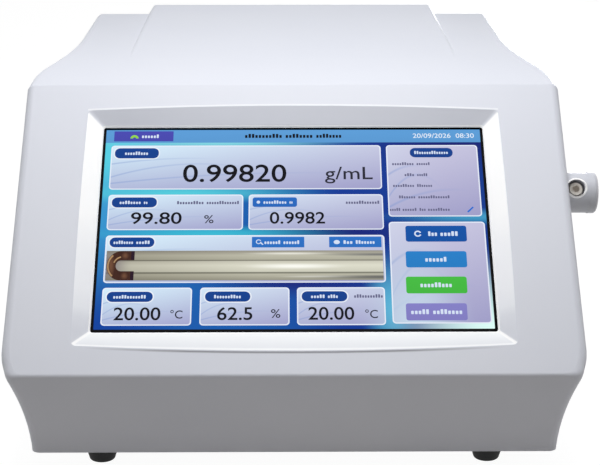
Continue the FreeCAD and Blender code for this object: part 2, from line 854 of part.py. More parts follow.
def upper_housing():
    outside = rounded_housing().fuse(hump(0))
    opening = block(-INSIDE_HALF, INSIDE_HALF, BASE_Y0, BASE_Y1, FOOT_HEIGHT - CUT_OVER, BASE_TOP + WALL)
    shell = outside.cut([housing_form(WALL), hump(WALL), opening])
    port_boss = rod(PORT_BOSS_R, V(PORT_BOSS_X, PORT_Y, PORT_Z), RIGHT, PORT_R + PORT_BOSS_R)
    ribs = [recess_tub().common(outside), port_boss.common(outside)]
    pilots = []
    for boss, pilot in display_bosses():
        ribs.append(boss)
        pilots.append(pilot)
    for place in base_screw_places():
        reach = (place.x, place.x + math.copysign(BASE_BOSS_INSET + WALL / 2, place.x))
        ribs.append(rod(BASE_BOSS_R, place, UP, BASE_BOSS_H))
        ribs.append(block(min(reach), max(reach), place.y - BASE_WEB_T / 2, place.y + BASE_WEB_T / 2,
                          BASE_TOP, BASE_TOP + BASE_BOSS_H))
        pilots.append(drill(M3_R + THREAD_FIT, place, UP, SCREW_GRIP))
    shell = shell.multiFuse(ribs)
    cuts = [recess_cut(), drill(PORT_R + FIT, V(PORT_BOSS_X, PORT_Y, PORT_Z), RIGHT, PORT_R + PORT_BOSS_R)]
    lap = PANEL_HALF - PANEL_LAP
    cuts.append(block(-lap, lap, PANEL_OUT_Y - CUT_OVER, HOUSING_DEPTH + CUT_OVER,
                      PANEL_LOW + PANEL_LAP, PANEL_HIGH - PANEL_LAP))
    for place in panel_screw_places():
        cuts.append(drill(M3_R + THREAD_FIT, place, FRONT, WALL))
    shell = shell.cut(cuts)
    for pilot in pilots:
        shell = shell.cut(pilot)
    return shell.removeSplitter()


# Display
def slab(half, low, high, depth, thickness):
    """A flat plate that lies along the fascia at a depth, in the fascia's own directions."""
    return block(-half, half, low, high, -depth - thickness, -depth)


def display_gasket():
    outer = slab(GLASS_HALF, GLASS_LOW, GLASS_HIGH, SEAT_DEPTH, GASKET_T)
    half = WINDOW_WIDTH / 2 + GASKET_BACK
    inner = slab(half, WINDOW_LOW - GASKET_BACK, WINDOW_HIGH + GASKET_BACK,
                 SEAT_DEPTH - CUT_OVER, GASKET_T + 2 * CUT_OVER)
    return on_fascia(outer.cut(inner))


def touch_glass():
    glass = slab(GLASS_HALF, GLASS_LOW, GLASS_HIGH, GLASS_DEPTH, GLASS_T)
    return on_fascia(glass.makeFillet(GLASS_CORNER_R, edges_along(glass, UP)))


def display_module():
    return on_fascia(slab(MODULE_HALF, MODULE_LOW, MODULE_HIGH, MODULE_DEPTH, MODULE_T))


def display_bracket():
    outer = slab(MODULE_HALF, MODULE_LOW, MODULE_HIGH, FRAME_DEPTH, FRAME_T)
    inner = slab(MODULE_HALF - FRAME_BAR, MODULE_LOW + FRAME_BAR, MODULE_HIGH - FRAME_BAR,
                 FRAME_DEPTH - CUT_OVER, FRAME_T + 2 * CUT_OVER)
    pieces = [outer.cut(inner)]
    holes = []
    for side in SIDES:
        for slope in EAR_SLOPES:
            reach = (side * (MODULE_HALF - FRAME_BAR / 2), side * (EAR_X + EAR_WIDTH / 2))
            pieces.append(block(min(reach), max(reach), slope - EAR_WIDTH / 2, slope + EAR_WIDTH / 2,
                                -FRAME_BACK, -FRAME_DEPTH))
            holes.append(drill(M3_R + FIT, V(side * EAR_X, slope, -FRAME_BACK), UP, FRAME_T))
    return on_fascia(join(pieces).cut(holes))


def display_screws():
    screws = []
    for side in SIDES:
        for slope in EAR_SLOPES:
            seat = V(side * EAR_X, slope, -FRAME_BACK)
            screws.append(on_fascia(m3_screw(seat, UP, FRAME_T + SCREW_GRIP - SCREW_END_GAP)))
    return screws


# Base, feet and rear panel
def foot_places():
    for side in SIDES:
        for y in (FOOT_FRONT_Y, HOUSING_DEPTH - FOOT_REAR_GAP):
            yield V(side * FOOT_HALF_SPAN, y, 0)


def post_places():
    for x in (SHELF_X0 + POST_INSET, SHELF_X1 - POST_INSET):
        for y in (SHELF_Y0 + POST_INSET, SHELF_Y1 - POST_INSET):
            yield V(x, y, BASE_TOP)


def standoff_places():
    for x0, x1, y0, y1 in ((MAIN_X0, MAIN_X1, MAIN_Y0, MAIN_Y1), (POWER_X0, POWER_X1, POWER_Y0, POWER_Y1)):
        for x in (x0 + STANDOFF_INSET, x1 - STANDOFF_INSET):
            for y in (y0 + STANDOFF_INSET, y1 - STANDOFF_INSET):
                yield V(x, y, BASE_TOP)


def base_plate():
    plate = block(-INSIDE_HALF + FIT, INSIDE_HALF - FIT, BASE_Y0 + FIT, BASE_Y1 - FIT, FOOT_HEIGHT, BASE_TOP)
    nuts = [rod(PRESS_NUT_R, place + UP * BASE_TOP, UP, PRESS_NUT_H) for place in foot_places()]
    cuts = [drill(M4_R + THREAD_FIT, place + UP * FOOT_HEIGHT, UP, BASE_T + PRESS_NUT_H)
            for place in foot_places()]
    cuts += [drill(M3_R + FIT, place - UP * BASE_T, UP, BASE_T) for place in base_screw_places()]
    for side in SIDES:
        for index in range(VENT_COUNT):
            y = VENT_Y + (index - (VENT_COUNT - 1) / 2) * VENT_PITCH
            x = side * VENT_X
            cuts.append(block(x - VENT_SLOT_L / 2, x + VENT_SLOT_L / 2, y - VENT_SLOT_W / 2,
                              y + VENT_SLOT_W / 2, FOOT_HEIGHT - CUT_OVER, BASE_TOP + CUT_OVER))
    return join([plate] + nuts).cut(cuts)


def rubber_feet():
    feet = []
    for place in foot_places():
        foot = Part.makeCone(FOOT_LOW_R, FOOT_TOP_R, FOOT_HEIGHT, place, UP)
        toe = [edge for edge in foot.Edges if edge.Closed and edge.CenterOfMass.z < FOOT_HEIGHT / 2]
        foot = foot.makeFillet(FOOT_TOE_R, toe)
        foot = foot.cut(drill(FOOT_WELL_R, place - UP * CUT_OVER, UP, FOOT_WELL_DEPTH))
        feet.append(foot.cut(drill(M4_R + FIT, place, UP, FOOT_HEIGHT)))
    return group(feet)


def underside_screws():
    screws = []
    for place in foot_places():
        length = FOOT_HEIGHT - FOOT_WELL_DEPTH + BASE_T + PRESS_NUT_H
        screws.append(screw(M4_R, M4_HEAD_R, M4_HEAD_H, place + UP * FOOT_WELL_DEPTH, UP, length))
    for place in base_screw_places():
        screws.append(m3_screw(place - UP * BASE_T, UP, BASE_T + SCREW_GRIP - SCREW_END_GAP))
    return group(screws)


def rear_panel():
    plate = block(-PANEL_HALF, PANEL_HALF, PANEL_IN_Y, PANEL_OUT_Y, PANEL_LOW, PANEL_HIGH)
    cuts = [drill(M3_R + THREAD_FIT, place, FRONT, WALL + PANEL_T) for place in panel_screw_places()]
    cuts.append(panel_hole(MAINS_X, MAINS_Z, MAINS_BODY_W, MAINS_BODY_H))
    cuts.append(panel_hole(SWITCH_X, SWITCH_Z, SWITCH_BODY_W, SWITCH_BODY_H))
    cuts.append(panel_hole(NETWORK_X, BOARD_TOP + NETWORK_H / 2, NETWORK_W, NETWORK_H))
    for x in USB_XS:
        cuts.append(panel_hole(x, BOARD_TOP + USB_H / 2, USB_W, USB_H))
    serial_z = BOARD_TOP + SERIAL_H / 2
    cuts.append(panel_hole(SERIAL_X, serial_z, SERIAL_SLEEVE_W, SERIAL_SLEEVE_H))
    for side in SIDES:
        stud = V(SERIAL_X + side * SERIAL_STUD_SPACING / 2, PANEL_IN_Y, serial_z)
        cuts.append(drill(M3_R + FIT, stud, BACK, PANEL_T))
        mains = V(MAINS_X + side * MAINS_SCREW_SPACING / 2, PANEL_IN_Y, MAINS_Z)
        cuts.append(drill(M3_R + THREAD_FIT, mains, BACK, PANEL_T))
    cuts.append(drill(FAN_BORE_R, V(FAN_X, PANEL_IN_Y, FAN_Z), BACK, PANEL_T))
    for place in fan_screw_places():
        cuts.append(drill(M3_R + FIT, V(place.x, PANEL_IN_Y, place.z), BACK, PANEL_T))
    for x in (WASTE_X, AIR_X):
        cuts.append(drill(OUTLET_THREAD_R + FIT, V(x, PANEL_IN_Y, OUTLET_Z), BACK, PANEL_T))
    return plate.cut(cuts)


def panel_hole(x, z, width, height):
    return block(x - width / 2 - FIT, x + width / 2 + FIT, PANEL_IN_Y - CUT_OVER, PANEL_OUT_Y + CUT_OVER,
                 z - height / 2 - FIT, z + height / 2 + FIT)


def rear_screws():
    screws = [m3_screw(place, FRONT, WALL + PANEL_T + SCREW_TAIL) for place in panel_screw_places()]
    for side in SIDES:
        seat = V(MAINS_X + side * MAINS_SCREW_SPACING / 2, PANEL_OUT_Y + MAINS_FLANGE_T, MAINS_Z)
        screws.append(m3_screw(seat, FRONT, MAINS_FLANGE_T + PANEL_T + SCREW_TAIL))
    for place in fan_screw_places():
        seat = V(place.x, PANEL_OUT_Y + 2 * GUARD_SPOKE_R, place.z)
        screws.append(m3_screw(seat, FRONT, 2 * GUARD_SPOKE_R + PANEL_T + FAN_T))
    return group(screws)


# Sample port
def port_point(radial):
    return V(INLET_X, PORT_Y, PORT_Z) + PORT_LINE * radial


def port_housing():
    barrel = rod(PORT_R, V(PORT_IN_X, PORT_Y, PORT_Z), RIGHT, PORT_OUT_X - PORT_IN_X)
    floor = PORT_R - INLET_HOLE_DEPTH
    rim = Part.makeCone(INLET_HOLE_R, INLET_HOLE_R + 2 * INLET_RIM, 2 * INLET_RIM,
                        port_point(PORT_R - INLET_RIM), PORT_LINE)
    cuts = [
        rod(INLET_HOLE_R, port_point(floor), PORT_LINE, INLET_HOLE_DEPTH + CUT_OVER),
        rim,
        rod(ADAPTER_R + RUN_FIT, port_point(-ADAPTER_CHAMBER), PORT_LINE, floor + ADAPTER_CHAMBER + CUT_OVER),
        drill(HOSE_R + THREAD_FIT, V(PORT_IN_X, PORT_Y, PORT_Z), RIGHT, INLET_X - PORT_IN_X - CUT_OVER),
        drill(PORT_PLUG_R + THREAD_FIT, V(PORT_OUT_X - PORT_PLUG_L, PORT_Y, PORT_Z), RIGHT, PORT_PLUG_L),
    ]
    return barrel.cut(cuts)


def port_cap():
    x0 = PORT_OUT_X
    x1 = x0 + PORT_CAP_T
    edge = PORT_CAP_R
    dome_r = (edge ** 2 + PORT_DOME ** 2) / (2 * PORT_DOME)
    half_angle = math.asin(edge / dome_r) / 2
    middle = V(x1 + PORT_DOME - dome_r + dome_r * math.cos(half_angle), dome_r * math.sin(half_angle), 0)
    outline = Part.Wire([
        Part.LineSegment(V(x0, 0, 0), V(x0, edge, 0)).toShape(),
        Part.LineSegment(V(x0, edge, 0), V(x1, edge, 0)).toShape(),
        Part.Arc(V(x1, edge, 0), middle, V(x1 + PORT_DOME, 0, 0)).toShape(),
        Part.LineSegment(V(x1 + PORT_DOME, 0, 0), V(x0, 0, 0)).toShape(),
    ])
    cap = Part.Face(outline).revolve(V(0, 0, 0), RIGHT, 360)
    shoulder = [e for e in cap.Edges if e.Closed and abs(e.CenterOfMass.x - x1) < FIT and e.Length > edge]
    cap = cap.makeFillet(PORT_CAP_EDGE_R, shoulder)
    cap.translate(PORT_AXIS)
    plug = rod(PORT_PLUG_R, V(x0 - PORT_PLUG_L, PORT_Y, PORT_Z), RIGHT, 2 * PORT_PLUG_L)
    return cap.fuse(plug).removeSplitter()


def port_seal():
    start = V(PORT_BOSS_X - PORT_RING_T, PORT_Y, PORT_Z)
    return ring(PORT_NUT_R - PORT_RING_T, PORT_R + THREAD_FIT, start, RIGHT, PORT_RING_T)


def port_nut():
    start = V(PORT_BOSS_X - PORT_RING_T - PORT_NUT_T, PORT_Y, PORT_Z)
    bore = drill(PORT_R + THREAD_FIT, start, RIGHT, PORT_NUT_T)
    return hex_rod(PORT_NUT_R, start, RIGHT, PORT_NUT_T).cut(bore)


def inlet_adapter():
    floor = PORT_R - INLET_HOLE_DEPTH
    mouth = PORT_R - ADAPTER_SUNK
    tail = mouth - ADAPTER_LENGTH
    pieces = [
        rod(ADAPTER_R, port_point(tail), PORT_LINE, ADAPTER_LENGTH),
        rod(ADAPTER_COLLAR_R, port_point(floor), PORT_LINE, ADAPTER_COLLAR_T),
    ]
    adapter = join(pieces).cut(rod(LUER_R, port_point(mouth - LUER_DEPTH), PORT_LINE, LUER_DEPTH + CUT_OVER))
    return adapter.cut(drill(FLUID_R, port_point(tail), PORT_LINE, ADAPTER_LENGTH))


# Hoses, each with the fitting that joins it to a leg of the glass tube
def leg_fitting(y):
    start = V(TUBE_END_X - FITTING_L / 2, y, TUBE_Z)
    body = rod(FITTING_R, start, RIGHT, FITTING_L)
    glass_side = rod(GLASS_TUBE_R + THREAD_FIT, start - RIGHT * CUT_OVER, RIGHT, FITTING_L / 2 + CUT_OVER)
    hose_side = rod(HOSE_R + THREAD_FIT, V(TUBE_END_X + FITTING_WALL, y, TUBE_Z), RIGHT, FITTING_L)
    return body.cut([glass_side, hose_side, drill(HOSE_BORE_R, start, RIGHT, FITTING_L)])


def inlet_tube():
    y = CELL_MID_Y - LEG_SPACING / 2
    route = [
        V(INLET_X - ADAPTER_R - FIT, PORT_Y, PORT_Z),
        V(HOSE_TURN_X, PORT_Y, PORT_Z),
        V(HOSE_TURN_X, y, TUBE_Z),
        V(TUBE_END_X + FITTING_WALL, y, TUBE_Z),
    ]
    return group([hose(route, HOSE_R, HOSE_BORE_R), leg_fitting(y)])


def waste_tube():
    y = CELL_MID_Y + LEG_SPACING / 2
    route = [
        V(TUBE_END_X + FITTING_WALL, y, TUBE_Z),
        V(HOSE_TURN_X, y, TUBE_Z),
        V(HOSE_TURN_X, y + WASTE_RISE_RUN, TUBE_Z),
        V(WASTE_X, PANEL_IN_Y - 2 * WASTE_RISE_RUN, OUTLET_Z),
        V(WASTE_X, PANEL_OUT_Y - OUTLET_THREAD_L, OUTLET_Z),
    ]
    return group([hose(route, HOSE_R, HOSE_BORE_R), leg_fitting(y)])


def air_hoses():
    cover_y = PUMP_Y + PUMP_CASE_W / 2
    cover_z = PUMP_TOP + PUMP_DISC_T + PUMP_COVER_T / 2
    pump_x = PUMP_X + PUMP_CASE_L / 2
    dryer_in = DRYER_Y0 - DRYER_CAP_T
    dryer_out = DRYER_Y0 + DRYER_L + DRYER_CAP_T
    reach = (dryer_in - cover_y) * AIR_TURN_SHARE
    first = [
        V(pump_x, cover_y, cover_z),
        V(pump_x, cover_y + reach, cover_z),
        V(DRYER_X, dryer_in - reach, DRYER_Z),
        V(DRYER_X, dryer_in, DRYER_Z),
    ]
    second = [
        V(DRYER_X, dryer_out, DRYER_Z),
        V(DRYER_X, dryer_out + AIR_LEAD, DRYER_Z),
        V(AIR_X, dryer_out + 2 * AIR_LEAD, (DRYER_Z + OUTLET_Z) / 2),
        V(AIR_X, dryer_out + 2 * AIR_LEAD + (OUTLET_Z - DRYER_Z) / 2, OUTLET_Z),
        V(AIR_X, PANEL_OUT_Y - OUTLET_THREAD_L, OUTLET_Z),
    ]
    return group([hose(route, AIR_HOSE_R, AIR_HOSE_BORE_R) for route in (first, second)])


# Measuring cell
def cell_shelf():
    plate = block(SHELF_X0, SHELF_X1, SHELF_Y0, SHELF_Y1, SHELF_LOW, SHELF_TOP)
    return plate.cut([drill(M3_R + FIT, V(p.x, p.y, SHELF_LOW), UP, SHELF_T) for p in post_places()])


def cell_block():
    body = block(CELL_X0, CELL_X1, CELL_Y0, CELL_Y1, CELL_LOW, CELL_TOP)
    slot = block(CELL_X0 + SLOT_END, CELL_X1 + CUT_OVER, CELL_MID_Y - SLOT_WIDTH / 2,
                 CELL_MID_Y + SLOT_WIDTH / 2, SLOT_FLOOR, CELL_TOP + CUT_OVER)
    probe = rod(PROBE_R + THREAD_FIT, probe_start(), RIGHT, PROBE_L)
    return body.cut(slot).cut(probe)


def probe_start():
    return V(CELL_X0 + PROBE_IN - PROBE_L, CELL_Y0 + PROBE_Y_IN, CELL_LOW + PROBE_RISE)


def temperature_probe():
    return rod(PROBE_R, probe_start(), RIGHT, PROBE_L)


def cell_window():
    return block(CELL_X0, CELL_X1, CELL_Y0, CELL_Y1, CELL_TOP, CELL_TOP + LID_T)


def cell_jacket():
    outer = block(CELL_X0 - JACKET_T, CELL_X1 + JACKET_T, CELL_Y0 - JACKET_T, CELL_Y1, SHELF_TOP, CELL_TOP)
    room = block(CELL_X0, CELL_X1, CELL_Y0, CELL_Y1 + CUT_OVER, CELL_LOW, CELL_TOP + CUT_OVER)
    legs = block(CELL_X1 - CUT_OVER, CELL_X1 + JACKET_T + CUT_OVER, CELL_MID_Y - SLOT_WIDTH / 2,
                 CELL_MID_Y + SLOT_WIDTH / 2, SLOT_FLOOR, CELL_TOP + CUT_OVER)
    probe = drill(PROBE_R + THREAD_FIT, probe_start(), RIGHT, PROBE_L)
    return outer.cut([room, legs, probe])


def oscillator_tube():
    half = LEG_SPACING / 2
    ends = [V(TUBE_END_X, CELL_MID_Y + side * half, TUBE_Z) for side in SIDES]
    bends = [V(TUBE_BEND_X, CELL_MID_Y + side * half, TUBE_Z) for side in SIDES]
    line = Part.Wire([
        Part.LineSegment(ends[0], bends[0]).toShape(),
        Part.Arc(bends[0], V(TUBE_BEND_X - half, CELL_MID_Y, TUBE_Z), bends[1]).toShape(),
        Part.LineSegment(bends[1], ends[1]).toShape(),
    ])
    rims = [Part.Wire(Part.makeCircle(r, ends[0], LEFT)) for r in (GLASS_TUBE_R, GLASS_TUBE_BORE_R)]
    return line.makePipe(Part.Face(rims))


def tube_clamp():
    y = CELL_MID_Y
    half = SLOT_WIDTH / 2 - THREAD_FIT
    body = block(CELL_X1 - CLAMP_T, CELL_X1, y - half, y + half, SLOT_FLOOR, CELL_TOP)
    bores = [drill(GLASS_TUBE_R + THREAD_FIT, V(CELL_X1 - CLAMP_T, y + side * LEG_SPACING / 2, TUBE_Z), RIGHT,
                   CLAMP_T) for side in SIDES]
    return body.cut(bores)


def cell_drive():
    """The magnet that rides on the bend of the glass tube and the coil below it."""
    half = LEG_SPACING / 2 + GLASS_TUBE_R
    low = TUBE_Z + GLASS_TUBE_R
    magnet = block(TUBE_BEND_X, TUBE_BEND_X + MAGNET_L, CELL_MID_Y - half, CELL_MID_Y + half,
                   low, low + MAGNET_H)
    coil = ring(COIL_R, COIL_BORE_R, V(TUBE_BEND_X + COIL_R, CELL_MID_Y, SLOT_FLOOR), UP, COIL_H)
    return group([magnet, coil])


def cell_light():
    x = (CELL_X0 + CELL_X1) / 2
    low = CELL_TOP + LID_T
    return block(x - LIGHT_LENGTH / 2, x + LIGHT_LENGTH / 2, CELL_Y0, CELL_Y0 + LIGHT_W, low, low + LIGHT_T)


def peltier_modules():
    x = (CELL_X0 + CELL_X1) / 2
    z = (CELL_LOW + CELL_TOP) / 2
    half = PELTIER_SIDE / 2
    return group([block(x + side * PELTIER_SPACING / 2 - half, x + side * PELTIER_SPACING / 2 + half,
                        CELL_Y1, SINK_Y0, z - half, z + half) for side in SIDES])


def heat_sink():
    top = SHELF_TOP + SINK_HEIGHT
    pieces = [block(CELL_X0, CELL_X1, SINK_Y0, SINK_Y0 + SINK_BASE_T, SHELF_TOP, top)]
    pitch = (CELL_LENGTH - SINK_FIN_T) / (SINK_FIN_COUNT - 1)
    for index in range(SINK_FIN_COUNT):
        x = CELL_X0 + index * pitch
        pieces.append(block(x, x + SINK_FIN_T, SINK_Y0, SINK_Y1, SHELF_TOP, top))
    return join(pieces)


def camera_arm():
    x = (CELL_X0 + CELL_X1) / 2
    half = ARM_WIDTH / 2
    top = ARM_HIGH + ARM_T
    return join([
        block(x - half, x + half, SINK_Y1, ARM_Y1, SHELF_TOP, top),
        block(x - half, x + half, ARM_Y1 - ARM_REACH, ARM_Y1, ARM_HIGH, top),
        block(x - half, x + half, SINK_Y1, ARM_Y1 + ARM_FOOT, SHELF_TOP, SHELF_TOP + ARM_T),
    ])


def camera_board():
    x = (CELL_X0 + CELL_X1) / 2
    half = CAMERA_SIDE / 2
    low = ARM_HIGH - CAMERA_SPACER - CAMERA_T
    pieces = [block(x - half, x + half, CELL_MID_Y - half, CELL_MID_Y + half, low, low + CAMERA_T)]
    reach = half - STANDOFF_R
    for side in SIDES:
        for other in SIDES:
            place = V(x + side * reach, CELL_MID_Y + other * reach, low)
            pieces.append(rod(M3_R, place, UP, CAMERA_T + CAMERA_SPACER))
    return join(pieces)


def camera_lens():
    x = (CELL_X0 + CELL_X1) / 2
    top = V(x, CELL_MID_Y, ARM_HIGH - CAMERA_SPACER - CAMERA_T)
    barrel = rod(LENS_R, top, DOWN, LENS_H)
    return barrel.cut(rod(LENS_GLASS_R, top + DOWN * (LENS_H - LENS_GLASS_SUNK), DOWN, LENS_H))


# Exhaust fan
def fan_screw_places():
    half = FAN_SCREW_SPACING / 2
    for side in SIDES:
        for other in SIDES:
            yield V(FAN_X + side * half, FAN_Y0, FAN_Z + other * half)


def fan_frame():
    half = FAN_SIDE / 2
    reach = FAN_BORE_R + CUT_OVER
    frame = block(FAN_X - half, FAN_X + half, FAN_Y0, PANEL_IN_Y, FAN_Z - half, FAN_Z + half)
    frame = frame.makeFillet(FAN_CORNER_R, edges_along(frame, BACK))
    middle = V(FAN_X, FAN_Y0, FAN_Z)
    frame = frame.cut(drill(FAN_BORE_R, middle, BACK, FAN_T))
    strut = block(FAN_X - reach, FAN_X + reach, FAN_Y0, FAN_Y0 + FAN_STRUT_T,
                  FAN_Z - FAN_STRUT_W / 2, FAN_Z + FAN_STRUT_W / 2)
    post = block(FAN_X - FAN_STRUT_W / 2, FAN_X + FAN_STRUT_W / 2, FAN_Y0, FAN_Y0 + FAN_STRUT_T,
                 FAN_Z - reach, FAN_Z + reach)
    frame = join([frame, strut, post, rod(FAN_HUB_R, middle, BACK, FAN_STRUT_T)])
    cuts = [drill(M3_R + THREAD_FIT, place, BACK, FAN_T) for place in fan_screw_places()]
    cuts.append(drill(FAN_SHAFT_R + RUN_FIT, middle, BACK, FAN_STRUT_T))
    return frame.cut(cuts)


def fan_rotor():
    start = FAN_Y0 + FAN_STRUT_T + FIT
    hub = rod(FAN_HUB_R, V(FAN_X, start, FAN_Z), BACK, FAN_HUB_T)
    rim = [e for e in hub.Edges if e.Closed and e.CenterOfMass.y > start + FAN_HUB_T / 2]
    pieces = [hub.makeFillet(FAN_HUB_EDGE_R, rim), rod(FAN_SHAFT_R, V(FAN_X, FAN_Y0, FAN_Z), BACK, FAN_T / 2)]
    reach = FAN_BORE_R - FAN_TIP_GAP
    y = start + FAN_HUB_T / 2
    tips = rod(reach, V(FAN_X, start, FAN_Z), BACK, FAN_T)
    for index in range(FAN_BLADES):
        blade = block(FAN_HUB_R / 2, reach + FAN_HUB_R, -FAN_BLADE_CHORD / 2, FAN_BLADE_CHORD / 2,
                      -FAN_BLADE_T / 2, FAN_BLADE_T / 2)
        blade.rotate(V(0, 0, 0), RIGHT, 90 - FAN_BLADE_TWIST_DEG)
        blade.rotate(V(0, 0, 0), BACK, index * 360 / FAN_BLADES)
        blade.translate(V(FAN_X, y, FAN_Z))
        pieces.append(blade.common(tips))
    return join(pieces)


def fan_guard():
    y = PANEL_OUT_Y + GUARD_SPOKE_R
    pieces = []
    for index in range(GUARD_RINGS):
        radius = FAN_BORE_R * (index + 1) / GUARD_RINGS
        pieces.append(Part.makeTorus(radius, GUARD_WIRE_R, V(FAN_X, y, FAN_Z), BACK))
    inner = FAN_BORE_R / GUARD_RINGS - GUARD_SPOKE_R
    for place in fan_screw_places():
        line = V(place.x - FAN_X, 0, place.z - FAN_Z)
        length = line.Length
        line.normalize()
        start = V(FAN_X, y, FAN_Z) + line * inner
        pieces.append(rod(GUARD_SPOKE_R, start, line, length - inner - M3_R - FIT))
        pieces.append(rod(GUARD_EYE_R, V(place.x, PANEL_OUT_Y, place.z), BACK, 2 * GUARD_SPOKE_R))
    holes = [drill(M3_R + FIT, V(p.x, PANEL_OUT_Y, p.z), BACK, 2 * GUARD_SPOKE_R) for p in fan_screw_places()]
    return join(pieces).cut(holes)


# Air pump
def pump_case():
    low = BASE_TOP + PUMP_FOOT_T
    y0 = PUMP_Y - PUMP_CASE_W / 2
    y1 = PUMP_Y + PUMP_CASE_W / 2
    wall = PUMP_CASE_WALL
    body = block(PUMP_X, PUMP_X + PUMP_CASE_L, y0, y1, low, PUMP_TOP)
    room = block(PUMP_X + wall, PUMP_X + PUMP_CASE_L + CUT_OVER, y0 + wall, y1 - wall,
                 low + wall, PUMP_TOP - wall)
    hatch = rod(PUMP_HATCH_R, V(PUMP_X + PUMP_CASE_L / 2, PUMP_Y, PUMP_TOP - 2 * wall), UP, 3 * wall)
    return body.cut(room).cut(hatch)


def pump_motor():
    start = V(PUMP_X + PUMP_CASE_L, PUMP_Y, PUMP_AXIS_Z)
    motor = rod(PUMP_MOTOR_R, start, RIGHT, PUMP_MOTOR_L)
    far = [e for e in motor.Edges if e.Closed and e.CenterOfMass.x > start.x + PUMP_MOTOR_L / 2]
    motor = motor.makeFillet(PUMP_MOTOR_EDGE_R, far)
    flange = block(start.x, start.x + PUMP_FLANGE_T, PUMP_Y - PUMP_CASE_W / 2, PUMP_Y + PUMP_CASE_W / 2,
                   PUMP_AXIS_Z - PUMP_CASE_H / 2, PUMP_AXIS_Z + PUMP_CASE_H / 2)
    return join([motor, flange]).cut(drill(PUMP_SHAFT_R + RUN_FIT, start, RIGHT, PUMP_MOTOR_L / 2))


def pump_crank():
    face = PUMP_X + PUMP_CASE_L - PUMP_CRANK_GAP
    shaft = rod(PUMP_SHAFT_R, V(face - PUMP_CRANK_T / 2, PUMP_Y, PUMP_AXIS_Z), RIGHT, PUMP_MOTOR_L / 2)
    disc = rod(PUMP_CRANK_R, V(face - PUMP_CRANK_T, PUMP_Y, PUMP_AXIS_Z), RIGHT, PUMP_CRANK_T)
    pin = rod(PUMP_PIN_R, V(face - PUMP_CRANK_T - PUMP_PIN_L, PUMP_Y, PUMP_AXIS_Z + PUMP_THROW), RIGHT,
              PUMP_PIN_L + PUMP_CRANK_T / 2)
    return join([shaft, disc, pin])


def pump_diaphragm():
    middle = V(PUMP_X + PUMP_CASE_L / 2, PUMP_Y, PUMP_TOP)
    disc = rod(PUMP_CASE_L / 2, middle, UP, PUMP_DISC_T)
    return disc.fuse(rod(PUMP_STUB_R, middle - UP * PUMP_STUB_L, UP, 2 * PUMP_STUB_L)).removeSplitter()


def pump_cover():
    low = PUMP_TOP + PUMP_DISC_T
    top = low + PUMP_COVER_T
    y1 = PUMP_Y + PUMP_CASE_W / 2
    body = block(PUMP_X, PUMP_X + PUMP_CASE_L, PUMP_Y - PUMP_CASE_W / 2, y1, low, top)
    nipple = V(PUMP_X + PUMP_CASE_L / 2, y1 - CUT_OVER, (low + top) / 2)
    return body.fuse(rod(AIR_HOSE_BORE_R - THREAD_FIT, nipple, BACK, PUMP_NIPPLE_L)).removeSplitter()


def pump_bracket():
    """The foot plate under the pump, with a saddle that the motor lies in."""
    y0 = PUMP_Y - PUMP_CASE_W / 2
    y1 = PUMP_Y + PUMP_CASE_W / 2
    top = BASE_TOP + PUMP_FOOT_T
    x1 = PUMP_X + PUMP_CASE_L + PUMP_MOTOR_L
    plate = block(PUMP_X, x1, y0, y1, BASE_TOP, top)
    saddle = block(x1 - PUMP_SADDLE_L, x1 - PUMP_SADDLE_L / 2, y0, y1, BASE_TOP, PUMP_AXIS_Z)
    bed = drill(PUMP_MOTOR_R + THREAD_FIT, V(PUMP_X, PUMP_Y, PUMP_AXIS_Z), RIGHT, x1 - PUMP_X)
    return join([plate, saddle]).cut(bed)


# Drying cartridge
def dryer_tube():
    start = V(DRYER_X, DRYER_Y0, DRYER_Z)
    skin = ring(DRYER_R, DRYER_R - DRYER_WALL, start, BACK, DRYER_L)
    grains = rod(DRYER_R - DRYER_WALL - FIT, start, BACK, DRYER_L)
    return group([skin, grains])


def dryer_caps():
    caps = []
    for y, out in ((DRYER_Y0, FRONT), (DRYER_Y0 + DRYER_L, BACK)):
        start = V(DRYER_X, y, DRYER_Z)
        cap = rod(DRYER_CAP_R, start, out, DRYER_CAP_T)
        nipple = rod(AIR_HOSE_BORE_R - THREAD_FIT, start, out, DRYER_CAP_T + DRYER_NIPPLE_L)
        caps.append(cap.fuse(nipple).removeSplitter())
    return group(caps)


def dryer_clips():
    clips = []
    outer = DRYER_R + THREAD_FIT + CLIP_T
    for y in (DRYER_Y0 + CLIP_FROM_END, DRYER_Y0 + DRYER_L - CLIP_FROM_END - CLIP_W):
        start = V(DRYER_X, y, DRYER_Z)
        band = ring(outer, DRYER_R + THREAD_FIT, start, BACK, CLIP_W)
        half = CLIP_MOUTH_DEG / 2
        edge = V(2 * outer * sine(half), 0, 2 * outer * cosine(half))
        mouth = prism([start, start + edge, start + V(-edge.x, 0, edge.z)], BACK * CLIP_W)
        foot = block(DRYER_X - DRYER_R / 2, DRYER_X + DRYER_R / 2, y, y + CLIP_W, BASE_TOP, DRYER_Z)
        foot = foot.cut(drill(outer - CLIP_T / 2, start, BACK, CLIP_W))
        clips.append(join([band.cut(mouth), foot]))
    return group(clips)


# Circuit boards
def board_plate(x0, x1, y0, y1):
    plate = block(x0, x1, y0, y1, BOARD_LOW, BOARD_TOP)
    holes = []
    for x in (x0 + STANDOFF_INSET, x1 - STANDOFF_INSET):
        for y in (y0 + STANDOFF_INSET, y1 - STANDOFF_INSET):
            holes.append(drill(M3_R + FIT, V(x, y, BOARD_LOW), UP, BOARD_T))
    return plate.cut(holes)


def on_board(x, y, width, length, height):
    return block(x, x + width, y, y + length, BOARD_TOP, BOARD_TOP + height)


